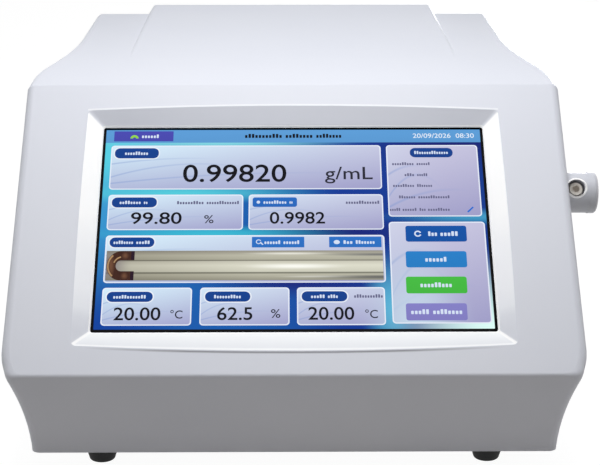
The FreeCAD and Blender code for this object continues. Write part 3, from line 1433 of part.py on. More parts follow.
def main_board():
    pieces = [board_plate(MAIN_X0, MAIN_X1, MAIN_Y0, MAIN_Y1)]
    y = MAIN_Y0 + CHIP_ROW
    pieces.append(on_board(MAIN_X0 + CHIP_ROW, y, PROCESSOR_SIDE, PROCESSOR_SIDE, CHIP_H))
    for index in range(CHIP_COUNT):
        pieces.append(on_board(MAIN_X0 + CHIP_ROW + index * CHIP_PITCH, y + PROCESSOR_SIDE + CHIP_PITCH / 2,
                               CHIP_W, CHIP_L, CHIP_H))
    for index in range(CHIP_COUNT):
        place = V(MAIN_X0 + CHIP_ROW + PROCESSOR_SIDE + (index + 1) * CHIP_PITCH / 2, y, BOARD_TOP)
        pieces.append(rod(CAPACITOR_R, place, UP, CAPACITOR_H))
    y = ribbon_end_y() - SOCKET_L / 2
    pieces.append(on_board(RIBBON_X - RIBBON_W / 2, y, RIBBON_W, SOCKET_L, SOCKET_H))
    return group(pieces)


def power_board():
    pieces = [board_plate(POWER_X0, POWER_X1, POWER_Y0, POWER_Y1)]
    x = POWER_X0 + COIL_BLOCK_IN
    y = POWER_Y0 + COIL_BLOCK_IN
    pieces.append(on_board(x, y, COIL_BLOCK_W, COIL_BLOCK_L, COIL_BLOCK_H))
    pieces.append(rod(BULK_R, V(x + COIL_BLOCK_W + 2 * BULK_R, y + BULK_R, BOARD_TOP), UP, BULK_H))
    pieces.append(on_board(x, y + COIL_BLOCK_L + COIL_BLOCK_IN / 2, SPREADER_L, SPREADER_T, SPREADER_H))
    x = TERMINAL_X - TERMINAL_W / 2
    pieces.append(on_board(x, POWER_Y1 - TERMINAL_L, TERMINAL_W, TERMINAL_L, TERMINAL_H))
    return group(pieces)


def standoffs():
    posts = [tapped_post(STANDOFF_R, place, STANDOFF_H) for place in standoff_places()]
    return group(posts + [tapped_post(POST_R, place, SHELF_LOW - BASE_TOP) for place in post_places()])


def tapped_post(radius, foot, height):
    post = hex_rod(radius, foot, UP, height)
    return post.cut(drill(M3_R + THREAD_FIT, foot + UP * (height - SCREW_GRIP), UP, SCREW_GRIP))


def inner_screws():
    screws = display_screws()
    for place in standoff_places():
        seat = V(place.x, place.y, BOARD_TOP)
        screws.append(m3_screw(seat, DOWN, BOARD_T + SCREW_GRIP - SCREW_END_GAP))
    for place in post_places():
        seat = V(place.x, place.y, SHELF_TOP)
        screws.append(m3_screw(seat, DOWN, SHELF_T + SCREW_GRIP - SCREW_END_GAP))
    return group(screws)


# Connectors
def network_port():
    face = PANEL_OUT_Y + PORT_PROUD
    body = block(NETWORK_X - NETWORK_W / 2, NETWORK_X + NETWORK_W / 2, face - NETWORK_L, face,
                 BOARD_TOP, BOARD_TOP + NETWORK_H)
    floor = BOARD_TOP + NETWORK_FLOOR
    half = NETWORK_CAVITY_W / 2
    room = block(NETWORK_X - half, NETWORK_X + half, face - NETWORK_CAVITY_L, face + CUT_OVER,
                 floor, floor + NETWORK_CAVITY_H)
    notch = block(NETWORK_X - half / 2, NETWORK_X + half / 2, face - NETWORK_CAVITY_L / 2, face + CUT_OVER,
                  floor, floor + NETWORK_CAVITY_H + NETWORK_FLOOR / 2)
    return body.cut(room.fuse(notch))


def usb_ports():
    face = PANEL_OUT_Y + PORT_PROUD
    ports = []
    for x in USB_XS:
        body = block(x - USB_W / 2, x + USB_W / 2, face - USB_L, face, BOARD_TOP, BOARD_TOP + USB_H)
        half = USB_W / 2 - USB_SKIN
        room = block(x - half, x + half, face - USB_L + 2 * USB_SKIN, face + CUT_OVER,
                     BOARD_TOP + USB_SKIN, BOARD_TOP + USB_H - USB_SKIN)
        top = BOARD_TOP + USB_H - USB_SKIN - USB_TONGUE_GAP
        tongue = block(x - half + USB_TONGUE_GAP, x + half - USB_TONGUE_GAP, face - USB_L + USB_SKIN,
                       face - USB_TONGUE_GAP, top - USB_TONGUE_H, top)
        ports.append(join([body.cut(room), tongue]))
    return group(ports)


def sleeve_outline(y, grow):
    """The outline of the serial plug's sleeve, wider at the top than at the bottom."""
    z = BOARD_TOP + SERIAL_H / 2
    height = SERIAL_SLEEVE_H / 2 + grow
    lean = SERIAL_SLEEVE_H * tangent(SERIAL_DRAFT_DEG)
    wide = SERIAL_SLEEVE_W / 2 + grow
    return [V(SERIAL_X - wide, y, z + height), V(SERIAL_X + wide, y, z + height),
            V(SERIAL_X + wide - lean, y, z - height), V(SERIAL_X - wide + lean, y, z - height)]


def serial_port():
    z = BOARD_TOP + SERIAL_H / 2
    body = block(SERIAL_X - SERIAL_W / 2, SERIAL_X + SERIAL_W / 2, PANEL_IN_Y - SERIAL_L, PANEL_IN_Y,
                 BOARD_TOP, BOARD_TOP + SERIAL_H)
    reach = PANEL_T + SERIAL_SLEEVE_OUT
    start = PANEL_IN_Y - SERIAL_SLEEVE_T
    sleeve = prism(sleeve_outline(start, 0), BACK * (reach + SERIAL_SLEEVE_T))
    sleeve = sleeve.cut(prism(sleeve_outline(PANEL_IN_Y, -SERIAL_SLEEVE_T), BACK * (reach + CUT_OVER)))
    pieces = [body, sleeve]
    for row, count in ((1, SERIAL_TOP_PINS), (-1, SERIAL_TOP_PINS - 1)):
        for index in range(count):
            x = SERIAL_X + (index - (count - 1) / 2) * SERIAL_PIN_PITCH
            place = V(x, start, z + row * SERIAL_ROW_PITCH / 2)
            pieces.append(rod(SERIAL_PIN_R, place, BACK, reach))
    studs = []
    cuts = []
    for side in SIDES:
        place = V(SERIAL_X + side * SERIAL_STUD_SPACING / 2, PANEL_OUT_Y, z)
        shank = rod(M3_R, place + FRONT * (PANEL_T + SERIAL_STUD_L), BACK, PANEL_T + 2 * SERIAL_STUD_L)
        studs.append(shank.fuse(hex_rod(SERIAL_STUD_R, place, BACK, SERIAL_STUD_L)).removeSplitter())
        cuts.append(drill(M3_R + THREAD_FIT, place + FRONT * (PANEL_T + SERIAL_STUD_L), BACK, SERIAL_STUD_L))
    return group([join(pieces).cut(cuts)] + studs)


# Mains inlet and fuse drawer
def mains_face():
    return PANEL_OUT_Y + MAINS_FLANGE_T


def mains_inlet():
    face = mains_face()
    flange = block(MAINS_X - MAINS_FLANGE_W / 2, MAINS_X + MAINS_FLANGE_W / 2, PANEL_OUT_Y, face,
                   MAINS_Z - MAINS_FLANGE_H / 2, MAINS_Z + MAINS_FLANGE_H / 2)
    flange = flange.makeFillet(MAINS_CORNER_R, edges_along(flange, BACK))
    body = block(MAINS_X - MAINS_BODY_W / 2, MAINS_X + MAINS_BODY_W / 2, PANEL_OUT_Y - MAINS_BODY_L,
                 PANEL_OUT_Y, MAINS_Z - MAINS_BODY_H / 2, MAINS_Z + MAINS_BODY_H / 2)
    z = MAINS_Z + MAINS_CAVITY_RISE
    half_w = MAINS_CAVITY_W / 2
    half_h = MAINS_CAVITY_H / 2
    cut = MAINS_CAVITY_CUT
    floor = face - MAINS_CAVITY_L
    outline = [V(MAINS_X - half_w, floor, z - half_h), V(MAINS_X + half_w, floor, z - half_h),
               V(MAINS_X + half_w, floor, z + half_h - cut), V(MAINS_X + half_w - cut, floor, z + half_h),
               V(MAINS_X - half_w + cut, floor, z + half_h), V(MAINS_X - half_w, floor, z + half_h - cut)]
    cuts = [prism(outline, BACK * (MAINS_CAVITY_L + CUT_OVER))]
    drawer_z = MAINS_Z - DRAWER_DROP
    cuts.append(block(MAINS_X - DRAWER_W / 2 - FIT, MAINS_X + DRAWER_W / 2 + FIT, face - DRAWER_L - FIT,
                      face + CUT_OVER, drawer_z - DRAWER_H / 2 - FIT, drawer_z + DRAWER_H / 2 + FIT))
    for side in SIDES:
        place = V(MAINS_X + side * MAINS_SCREW_SPACING / 2, PANEL_OUT_Y, MAINS_Z)
        cuts.append(drill(M3_R + FIT, place, BACK, MAINS_FLANGE_T))
    cuts += [pin_blade(x, z, THREAD_FIT) for x, z in mains_pin_places()]
    inlet = join([flange, body])
    for piece in cuts:
        inlet = inlet.cut(piece)
    return inlet


def mains_pin_places():
    z = MAINS_Z + MAINS_CAVITY_RISE - MAINS_PIN_STEP / 2
    reach = MAINS_PIN_SPACING / 2
    return [(MAINS_X - reach, z), (MAINS_X, z + MAINS_PIN_STEP), (MAINS_X + reach, z)]


def pin_blade(x, z, grow):
    floor = mains_face() - MAINS_CAVITY_L
    back = PANEL_OUT_Y - MAINS_BODY_L - MAINS_TAB_L
    half_w = MAINS_PIN_W / 2 + grow
    half_h = MAINS_PIN_H / 2 + grow
    return block(x - half_w, x + half_w, back, floor + MAINS_PIN_L, z - half_h, z + half_h)


def switch_tab_places():
    return [(SWITCH_X, SWITCH_Z - SWITCH_TAB_GAP / 2), (SWITCH_X, SWITCH_Z + SWITCH_TAB_GAP / 2)]


def switch_tab(x, z, grow):
    end = PANEL_OUT_Y - SWITCH_BODY_L
    half_w = SWITCH_TAB_W / 2 + grow
    half_t = SWITCH_TAB_T / 2 + grow
    return block(x - half_w, x + half_w, end - SWITCH_TAB_L, end + SWITCH_TAB_L / 2, z - half_t, z + half_t)


def mains_pins():
    pins = [pin_blade(x, z, 0) for x, z in mains_pin_places()]
    return group(pins + [switch_tab(x, z, 0) for x, z in switch_tab_places()])


def fuse_drawer():
    face = mains_face()
    z = MAINS_Z - DRAWER_DROP
    half_w = DRAWER_W / 2
    half_h = DRAWER_H / 2
    front = block(MAINS_X - half_w - DRAWER_FACE_MARGIN, MAINS_X + half_w + DRAWER_FACE_MARGIN, face,
                  face + DRAWER_FACE_T, z - half_h - DRAWER_FACE_MARGIN, z + half_h + DRAWER_FACE_MARGIN)
    rim = [e for e in front.Edges if e.CenterOfMass.y > face + DRAWER_FACE_T - TOLERANCE]
    front = front.makeFillet(DRAWER_FACE_T / 2, rim)
    tray = block(MAINS_X - half_w, MAINS_X + half_w, face - DRAWER_L, face, z - half_h, z + half_h)
    half_room = half_w - DRAWER_WALL
    room = block(MAINS_X - half_room, MAINS_X + half_room, face - DRAWER_L + DRAWER_WALL,
                 face - DRAWER_WALL, z - half_h + DRAWER_WALL, z + half_h + CUT_OVER)
    return join([front, tray.cut(room)])


def fuses():
    z = MAINS_Z - DRAWER_DROP - DRAWER_H / 2 + DRAWER_WALL + FUSE_R
    start = mains_face() - DRAWER_L + DRAWER_WALL + FIT
    tubes = []
    for side in SIDES:
        place = V(MAINS_X + side * DRAWER_W / 4, start, z)
        far = place + BACK * (FUSE_L - FUSE_CAP_L)
        caps = [rod(FUSE_R, end, BACK, FUSE_CAP_L) for end in (place, far)]
        tubes.append(join([rod(FUSE_R - FIT, place, BACK, FUSE_L)] + caps))
    return group(tubes)


# Power switch
def switch_face():
    return PANEL_OUT_Y + SWITCH_FLANGE_T


def power_switch():
    face = switch_face()
    half_w = SWITCH_FLANGE_W / 2
    half_h = SWITCH_FLANGE_H / 2
    flange = block(SWITCH_X - half_w, SWITCH_X + half_w, PANEL_OUT_Y, face,
                   SWITCH_Z - half_h, SWITCH_Z + half_h)
    flange = flange.makeFillet(SWITCH_FLANGE_T / 2, edges_along(flange, BACK))
    body = block(SWITCH_X - SWITCH_BODY_W / 2, SWITCH_X + SWITCH_BODY_W / 2, PANEL_OUT_Y - SWITCH_BODY_L,
                 PANEL_OUT_Y, SWITCH_Z - SWITCH_BODY_H / 2, SWITCH_Z + SWITCH_BODY_H / 2)
    room_w = SWITCH_BODY_W / 2 - SWITCH_WALL
    room_h = ROCKER_R + FIT
    room = block(SWITCH_X - room_w, SWITCH_X + room_w, face - SWITCH_ROOM_DEPTH, face + CUT_OVER,
                 SWITCH_Z - room_h, SWITCH_Z + room_h)
    reach = room_w + ROCKER_PIN_REACH + FIT
    bearing = V(SWITCH_X - reach, face - ROCKER_DEPTH, SWITCH_Z)
    cuts = [room, rod(ROCKER_PIN_R + RUN_FIT, bearing, RIGHT, 2 * reach)]
    cuts += [switch_tab(x, z, THREAD_FIT) for x, z in switch_tab_places()]
    return join([flange, body]).cut(cuts)


def rocker():
    """A round-ended rocker with two faces that meet in a shallow V, drawn level and then tipped to off."""
    half_w = SWITCH_BODY_W / 2 - SWITCH_WALL - FIT
    y = switch_face() - ROCKER_DEPTH
    pivot = V(SWITCH_X, y, SWITCH_Z)
    body = rod(ROCKER_R, pivot + LEFT * half_w, RIGHT, 2 * half_w)
    low = y - ROCKER_BELOW
    middle = y + ROCKER_DEPTH + ROCKER_PROUD
    tip = middle + ROCKER_R * tangent(ROCKER_FACE_DEG)
    x = SWITCH_X - half_w
    outline = [V(x, low, SWITCH_Z - ROCKER_R), V(x, tip, SWITCH_Z - ROCKER_R), V(x, middle, SWITCH_Z),
               V(x, tip, SWITCH_Z + ROCKER_R), V(x, low, SWITCH_Z + ROCKER_R)]
    body = body.common(prism(outline, RIGHT * 2 * half_w))
    reach = half_w + FIT + ROCKER_PIN_REACH
    body = join([body, rod(ROCKER_PIN_R, pivot + LEFT * reach, RIGHT, 2 * reach)])
    body.rotate(pivot, RIGHT, ROCKER_TILT_DEG)
    return body


# Hose outlets on the rear panel
def hose_outlets():
    pieces = []
    for x in (WASTE_X, AIR_X):
        seat = V(x, PANEL_OUT_Y, OUTLET_Z)
        stem = rod(OUTLET_R, seat, BACK, OUTLET_FLANGE_T + OUTLET_L)
        tip = [e for e in stem.Edges if e.Closed and e.CenterOfMass.y > seat.y + OUTLET_FLANGE_T]
        stem = stem.makeFillet(OUTLET_TIP_R, tip)
        body = join([stem, hex_rod(OUTLET_FLANGE_R, seat, BACK, OUTLET_FLANGE_T),
                     rod(OUTLET_THREAD_R, seat + FRONT * OUTLET_THREAD_L, BACK, OUTLET_THREAD_L)])
        body = body.cut(drill(OUTLET_BORE_R, seat + FRONT * OUTLET_THREAD_L, BACK,
                              OUTLET_THREAD_L + OUTLET_FLANGE_T + OUTLET_L))
        start = seat + FRONT * (PANEL_T + OUTLET_NUT_T)
        nut = hex_rod(OUTLET_NUT_R, start, BACK, OUTLET_NUT_T)
        pieces += [body, nut.cut(drill(OUTLET_THREAD_R + THREAD_FIT, start, BACK, OUTLET_NUT_T))]
    return group(pieces)


# Wiring
def ribbon_end_y():
    return MAIN_Y0 + SOCKET_IN


def display_ribbon():
    """The flat cable from the back of the display down to the floor and back to the main board."""
    inward = V(0, cosine(FASCIA_LEAN_DEG), -sine(FASCIA_LEAN_DEG))
    up_slope = V(0, sine(FASCIA_LEAN_DEG), cosine(FASCIA_LEAN_DEG))
    start = V(RIBBON_X, 0, NOSE_HEIGHT) + up_slope * RIBBON_SLOPE + inward * FRAME_DEPTH
    end = V(RIBBON_X, ribbon_end_y(), BOARD_TOP + SOCKET_H)
    floor = BASE_TOP + RIBBON_RISE
    route = [start, start + inward * RIBBON_LEAD, V(RIBBON_X, RIBBON_FLOOR_Y, floor),
             V(RIBBON_X, MAIN_Y0 - RIBBON_LEAD, floor), V(RIBBON_X, end.y, end.z + RIBBON_LEAD), end]
    half = RIBBON_W / 2
    thick = up_slope * (RIBBON_T / 2)
    rim = [start + V(-half, 0, 0) - thick, start + V(half, 0, 0) - thick,
           start + V(half, 0, 0) + thick, start + V(-half, 0, 0) + thick]
    return hose_line(route).makePipe(Part.Face(Part.makePolygon(rim + rim[:1])))


def mains_leads():
    leads = []
    ends = [(x, z, PANEL_OUT_Y - MAINS_BODY_L - MAINS_TAB_L) for x, z in mains_pin_places()]
    ends += [(x, z, PANEL_OUT_Y - SWITCH_BODY_L - SWITCH_TAB_L) for x, z in switch_tab_places()]
    y = POWER_Y1 - TERMINAL_L / 2
    pitch = TERMINAL_W / len(ends)
    top = BOARD_TOP + TERMINAL_H
    for index, (x, z, back) in enumerate(sorted(ends)):
        slot = TERMINAL_X + (index - (len(ends) - 1) / 2) * pitch
        route = [V(x, back, z), V(x, back - LEAD_RUN, z), V(slot, y, top + LEAD_RUN), V(slot, y, top)]
        leads.append(hose(route, LEAD_R, 0))
    return leads


def wiring():
    return group([display_ribbon()] + mains_leads())


NODES = (
    upper_housing, base_plate, underside_screws, rubber_feet, rear_panel, rear_screws, display_gasket,
    touch_glass, display_module, display_bracket, inner_screws, port_housing, port_cap, port_seal, port_nut,
    inlet_adapter, inlet_tube, waste_tube, cell_shelf, cell_block, cell_window, cell_jacket, oscillator_tube,
    tube_clamp, cell_drive, temperature_probe, cell_light, peltier_modules, heat_sink, camera_arm,
    camera_board, camera_lens, fan_frame, fan_rotor, fan_guard, pump_case, pump_motor, pump_crank,
    pump_diaphragm, pump_cover, pump_bracket, dryer_tube, dryer_caps, dryer_clips, air_hoses, main_board,
    power_board, standoffs, network_port, usb_ports, serial_port, mains_inlet, mains_pins, fuse_drawer,
    fuses, power_switch, rocker, hose_outlets, wiring,
)

os.makedirs("parts", exist_ok=True)
for make in NODES:
    shape = make()
    shape.translate(ORIGIN_SHIFT)
    shape.exportStep("parts/" + make.__name__ + ".step")
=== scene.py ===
"""Benchtop density meter: finishes for every piece, the lit screen picture and a plain studio.

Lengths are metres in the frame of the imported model. Screen positions are steps in a grid of 1280 by 800,
counted from the top left corner of the picture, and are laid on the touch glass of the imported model.
"""
import math

import bmesh
import bpy
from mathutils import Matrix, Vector


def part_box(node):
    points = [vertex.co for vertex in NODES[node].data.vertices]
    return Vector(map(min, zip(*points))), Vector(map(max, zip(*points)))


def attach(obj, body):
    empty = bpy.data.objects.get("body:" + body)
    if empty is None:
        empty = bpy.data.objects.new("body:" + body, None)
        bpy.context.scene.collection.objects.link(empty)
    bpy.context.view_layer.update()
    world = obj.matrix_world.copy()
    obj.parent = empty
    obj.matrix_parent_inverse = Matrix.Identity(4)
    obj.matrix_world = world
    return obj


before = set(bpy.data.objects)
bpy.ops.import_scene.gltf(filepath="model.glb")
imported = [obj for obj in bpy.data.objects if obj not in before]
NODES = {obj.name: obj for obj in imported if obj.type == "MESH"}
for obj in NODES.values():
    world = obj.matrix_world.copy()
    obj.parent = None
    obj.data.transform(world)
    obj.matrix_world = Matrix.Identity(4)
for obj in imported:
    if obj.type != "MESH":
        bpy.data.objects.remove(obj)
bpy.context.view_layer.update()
MM = 0.001


def middle_of(corners):
    """The centre of a box, from its lowest and its highest corner."""
    low, high = corners
    return (low + high) / 2


# Camera, lamps and studio
CAMERA_PLACE = (-0.01435, -1.098, 0.397)
CAMERA_PITCH_DEG = 16.2
CAMERA_TURN_DEG = -0.47
CAMERA_SIGHT = 50
LENS_MM = 103.62
KEY_PLACE = (-0.01, -0.2, 0.78)
KEY_AIM = (-0.01, -0.08, 0.15)
KEY_SIZE = 0.4
KEY_POWER = 4.1
SIDE_PLACES = ((-1.1, -0.03, 0.2), (1.1, -0.03, 0.2))
SIDE_AIM = (-0.01, -0.1, 0.12)
SIDE_SIZE = 0.5
SIDE_POWER = 1.2
REAR_PLACE = (-0.01, 0.3, 0.8)
REAR_AIM = (-0.01, 0.08, 0.18)
REAR_SIZE = 0.4
REAR_POWER = 0.4
REAR_TINT = (0.9, 0.95, 1.0)
BACK_PLACE = (0.5, 1.5, 0.1)
BACK_AIM = (-0.01, 0.2, 0.1)
BACK_SIZE = 0.16
BACK_POWER = 8.0
AMBIENT = 0.19
FLOOR_SIDE = 8.0
FLOOR_GLOW = 0.955
FLOOR_SEEN = 0.15
FLOOR_BOUNCE = (0.6, 0.575, 0.545)

# Relief of the finishes
MOULD_GRAIN = 0.12 * MM
METAL_GRAIN = 0.05 * MM
PEEL_DEPTH = 0.15 * MM
RIPPLE_DEPTH = 0.05 * MM
PORE_DEPTH = 0.3 * MM
BOARD_GRAIN = 0.1 * MM
SATIN_GRAIN = 0.08 * MM
TURN_DEPTH = 0.2 * MM
WIRE_DEPTH = 0.3 * MM
BEAD_DEPTH = 0.6 * MM

# The part of a noise's range that gloss follows, and the streaks on the panels
NOISE_SHARES = (0.3, 0.7)
STREAK_HALF_SHARE = 0.03
STREAK_START_SHARE = 0.5

# Screen and its recess in the housing
GRID_U = 1280
GRID_V = 800
PICTURE_WIDTH = 226 * MM
PICTURE_HEIGHT = 141.2 * MM
GLASS_T = 1.8 * MM
FASCIA_LEAN_DEG = 49.2
LAYER = 0.03 * MM
FASCIA_OVER_GLASS = 7.0 * MM
BEVEL_OVER_GLASS = 2.0 * MM
WALL_OVER_GLASS = 1.25 * MM
RECESS_EDGE = 0.15 * MM
RECESS_REACH_X = 127 * MM
RECESS_REACH_RISE = 90 * MM
RECESS_FACING_SHARES = (-0.3, -0.15)
RECESS_BOW = 3.5 * MM
RECESS_HALF = 123.3 * MM
# Where the painted light and painted shade on the recess slopes change, and the place and width of the
# painted highlights on the mitres
SIDE_SLOPE_RISE = (-72 * MM, 8 * MM)
MITRE_SHARES = (0.768, 0.642)
MITRE_REACH = 41.9 * MM
MITRE_PAINTED_HIGHLIGHT = (0.5 * MM, 1.2 * MM)
# Place, width and fade of the painted shadow line under the recess, and of the painted highlight line over it
PAINTED_SHADOW_LINE_RISE = 86.6 * MM
PAINTED_SHADOW_LINE_HALF = 1.15 * MM
PAINTED_SHADOW_LINE_FADE = (60 * MM, 116 * MM)
PAINTED_SHADOW_LINE_SHARE = 0.9
PAINTED_HIGHLIGHT_LINE_RISE = 83.6 * MM
PAINTED_HIGHLIGHT_LINE_HALF = 1.0 * MM
ACROSS = Vector((1, 0, 0))
UP_SLOPE = Vector((0, math.sin(math.radians(FASCIA_LEAN_DEG)), math.cos(math.radians(FASCIA_LEAN_DEG))))
OUTWARD = Vector((0, -UP_SLOPE.z, UP_SLOPE.y))
PICTURE_CENTRE = middle_of(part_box("touch_glass")) + OUTWARD * GLASS_T / 2

# Sample port
PORT_TILT_DEG = 30
PORT_LINE = (0, -math.cos(math.radians(PORT_TILT_DEG)), math.sin(math.radians(PORT_TILT_DEG)))
PORT_CENTRE = middle_of(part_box("port_housing"))
INLET_CENTRE = middle_of(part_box("inlet_adapter"))
PORT_MIDDLE = Vector((INLET_CENTRE.x, PORT_CENTRE.y, PORT_CENTRE.z))
# Heights over which the port's painted bluer light on top fades in
PORT_SHADE_LOW = 6 * MM
PORT_SHADE_HIGH = 7 * MM
# Radii of the painted highlight on the inlet bevel
INLET_PAINTED_HIGHLIGHT = (5.2 * MM, 6.3 * MM)
ADAPTER_FADE = (1.6 * MM, 3.6 * MM)
# Radii and strength of the painted glow in the adapter's middle
ADAPTER_PAINTED_GLOW_CORE = (1.9 * MM, 2.3 * MM)
ADAPTER_PAINTED_GLOW = 0.16

# Inner pieces with more than one colour
CAMERA_BOARD_T = 1.6 * MM
CAMERA_BOARD_OVER = 0.1 * MM
FLAT_CABLE_END_X = 10 * MM
BROWN_LEAD_X = 60 * MM

# Marks on the power rocker
MARK_R = 1.7 * MM
MARK_BAR_W = 0.5 * MM
MARK_T = 0.04 * MM
MARK_FACING = 0.9
MARK_STEPS = 32

# Print layers of the picture, from the glass outwards
BACKDROP_LEVEL = 0
RIM_LEVEL = 1
PANEL_LEVEL = 2
PRINT_LEVEL = 3
TAG_LEVEL = 4
LABEL_LEVEL = 5
LIGHT_LEVEL = 6

# Straight pieces that a round stretch is made of
CORNER_STEPS = 6
BAND_STEPS = 16
DISC_STEPS = 24
FONT_STEPS = 5

# Half the thickness of the letters, in print layers
FONT_HALF_T = 0.5

# Rim width, corner radii and word blocks, in grid steps
RIM_W = 4
BAR_R = 1
STRIP_R = 2
PANEL_RIM_R = 12
PANEL_R = 9
TAG_RIM_R = 22
TAG_R = 18
BUTTON_R = 8
WORD_R = 2
WORD_PITCH_SHARE = 0.66
WORD_BLOCK_SHARE = 0.7
WORD_RISE_SHARES = (1.0, 0.7, 0.72, 0.98, 0.7, 0.68, 0.7)
WORD_SKIP = 3
WORD_LEAST = 2

# Boxes of the picture: left, top, right, bottom
BACKDROP_BOX = (5, 4, GRID_U - 5, GRID_V - 15)
TITLE_BOX = (5, 4, GRID_U - 5, 57)
MENU_BOX = (32, 9, 233, 51)
PANEL_BOXES = {
    "density": (25, 69, 935, 249),
    "content": (26, 270, 473, 410),
    "specific gravity": (491, 270, 936, 410),
    "cell": (26, 431, 936, 613),
    "cell temperature": (26, 631, 313, 771),
    "air humidity": (339, 631, 625, 771),
    "air temperature": (649, 631, 931, 771),
    "sample": (953, 69, 1262, 359),
    "buttons": (952, 380, 1268, 766),
}
RIMMED_TAG_BOXES = {
    "density": (34, 76, 190, 126),
    "content": (34, 277, 191, 325),
    "cell": (35, 435, 189, 481),
    "cell temperature": (37, 642, 192, 688),
    "air humidity": (351, 642, 504, 688),
    "air temperature": (660, 642, 814, 688),
}
SAMPLE_TAG_BOX = (1033, 81, 1178, 120)
SECOND_TAG_BOX = (504, 282, 651, 320)
CELL_BUTTON_BOXES = ((503, 438, 674, 479), (755, 438, 926, 479))
BUTTON_BOXES = {
    "pump": (1006, 396, 1206, 458),
    "setup": (1003, 495, 1201, 557),
    "start": (1000, 592, 1196, 655),
    "print": (996, 692, 1191, 755),
}
CELL_VIEW_BOX = (32, 491, 929, 604)

# Bend in the cell view: bands are centre across, centre down, outer, inner, start and sweep in degrees
BEND_NARROW_SHARE = 0.84
BEND_BAND = (81, 548, 56, 21, 90, 180)
BEND_LEG_BOXES = ((80, 492, 123, 527), (80, 569, 123, 604))
BEND_LIGHT_BANDS = ((81, 548, 54, 48, 130, 100), (84, 548, 36, 31, 200, 60))
BEND_END_BOXES = ((112, 493, 123, 526), (112, 570, 123, 603))

# Icons
MENU_BAND = (101, 39, 14, 5, 180, 180)
TAG_DISC = (523, 301, 6, 6)
CELL_DISC = (780, 459, 10, 8)
LENS_BAND = (525, 457, 9, 6, 0, 330)
LENS_HANDLE = ((530, 462), (533, 459), (541, 467), (538, 470))
PUMP_BAND = (1046, 427, 12, 7, 20, 320)
PENCIL = ((1213, 340), (1232, 320), (1236, 324), (1217, 344))

# Figures and units: text, left, right, top, bottom
LARGE_FIGURES = (("0.99820", 270, 616, 148, 220),)
SMALL_FIGURES = (
    ("99.80", 104, 271, 340, 387),
    ("0.9982", 561, 743, 340, 387),
    ("20.00", 66, 215, 704, 752),
    ("62.5", 395, 507, 704, 752),
    ("20.00", 685, 831, 704, 752),
)
UNITS = (
    ("g/mL", 745, 905, 158, 226),
    ("%", 345, 376, 352, 384),
    ("°C", 246, 285, 714, 746),
    ("%", 566, 596, 712, 744),
    ("°C", 866, 906, 714, 746),
)
CLOCK = (("20/09/2026  08:30", 1046, 1254, 20, 39),)

# Rows of word blocks: middle, height, and the left and right end of each word
TITLE_WORDS = ((29, 17, ((476, 604), (614, 708), (718, 806))),)
MENU_WORDS = ((30, 15, ((126, 186),)),)
PANEL_WORDS = (
    (302, 13, ((254, 344), (352, 461), (813, 926))),
    (664, 13, ((832, 926),)),
    (146, 12, ((972, 1046), (1054, 1100))),
    (191, 12, ((1012, 1046), (1054, 1090))),
    (235, 12, ((972, 1044), (1052, 1104))),
    (281, 12, ((990, 1046), (1054, 1160))),
    (331, 12, ((958, 994), (1000, 1048), (1056, 1078), (1084, 1158))),
)
TAG_WORDS = (
    (101, 14, ((72, 152),)),
    (301, 13, ((64, 136), (144, 158))),
    (458, 13, ((52, 118), (126, 172))),
    (665, 13, ((62, 168), (384, 472), (694, 740), (748, 782))),
    (100, 13, ((1048, 1164),)),
    (301, 13, ((540, 618), (626, 638))),
    (459, 14, ((544, 598), (606, 660), (802, 834), (842, 906))),
    (427, 18, ((1080, 1112), (1120, 1180))),
    (526, 18, ((1066, 1138),)),
    (623, 18, ((1046, 1150),)),
    (723, 18, ((1012, 1072), (1082, 1178))),
)


def linear(level):
    """One channel of a display colour, 0 to 255, as the linear value that a shader takes."""
    share = level / 255
    if share <= 0.04045:
        return share / 12.92
    return ((share + 0.055) / 1.055) ** 2.4


def rgb(red, green, blue):
    """A colour as it looks on a display, 0 to 255, in the linear values that a shader takes."""
    return (linear(red), linear(green), linear(blue), 1.0)


def shade(colour, share):
    """A colour made darker or lighter, with no channel past full."""
    return tuple(min(1.0, level * share) for level in colour[:3]) + (1.0,)


# Places of the colour sockets on a Mix node
MIX_FIRST = 6
MIX_SECOND = 7
MIX_RESULT = 2

WHITE = rgb(255, 255, 255)
STEEL = rgb(196, 197, 200)
BRASS = rgb(205, 170, 100)


class Nodes:
    """Makes shader nodes in the tree of a material or a world."""

    def __init__(self, owner):
        owner.use_nodes = True
        self.tree = owner.node_tree
        self.tree.nodes.clear()

    def give(self, socket, value):
        """Gives a socket a value of its own or links it to another node's output."""
        if isinstance(value, bpy.types.NodeSocket):
            self.tree.links.new(value, socket)
        else:
            socket.default_value = value

    def node(self, kind, inputs=None, **settings):
        """A new node, whose inputs are values or other nodes' outputs."""
        made = self.tree.nodes.new("ShaderNode" + kind)
        for key, value in settings.items():
            setattr(made, key, value)
        for key, value in (inputs or {}).items():
            self.give(made.inputs[key], value)
        return made

    def maths(self, operation, *terms):
        """One step of arithmetic on numbers or other nodes' outputs."""
        made = self.node("Math", dict(enumerate(terms)), operation=operation)
        return made.outputs[0]

    def vectors(self, operation, *terms, result="Vector"):
        """One step of vector arithmetic."""
        made = self.node("VectorMath", dict(enumerate(terms)), operation=operation)
        return made.outputs[result]


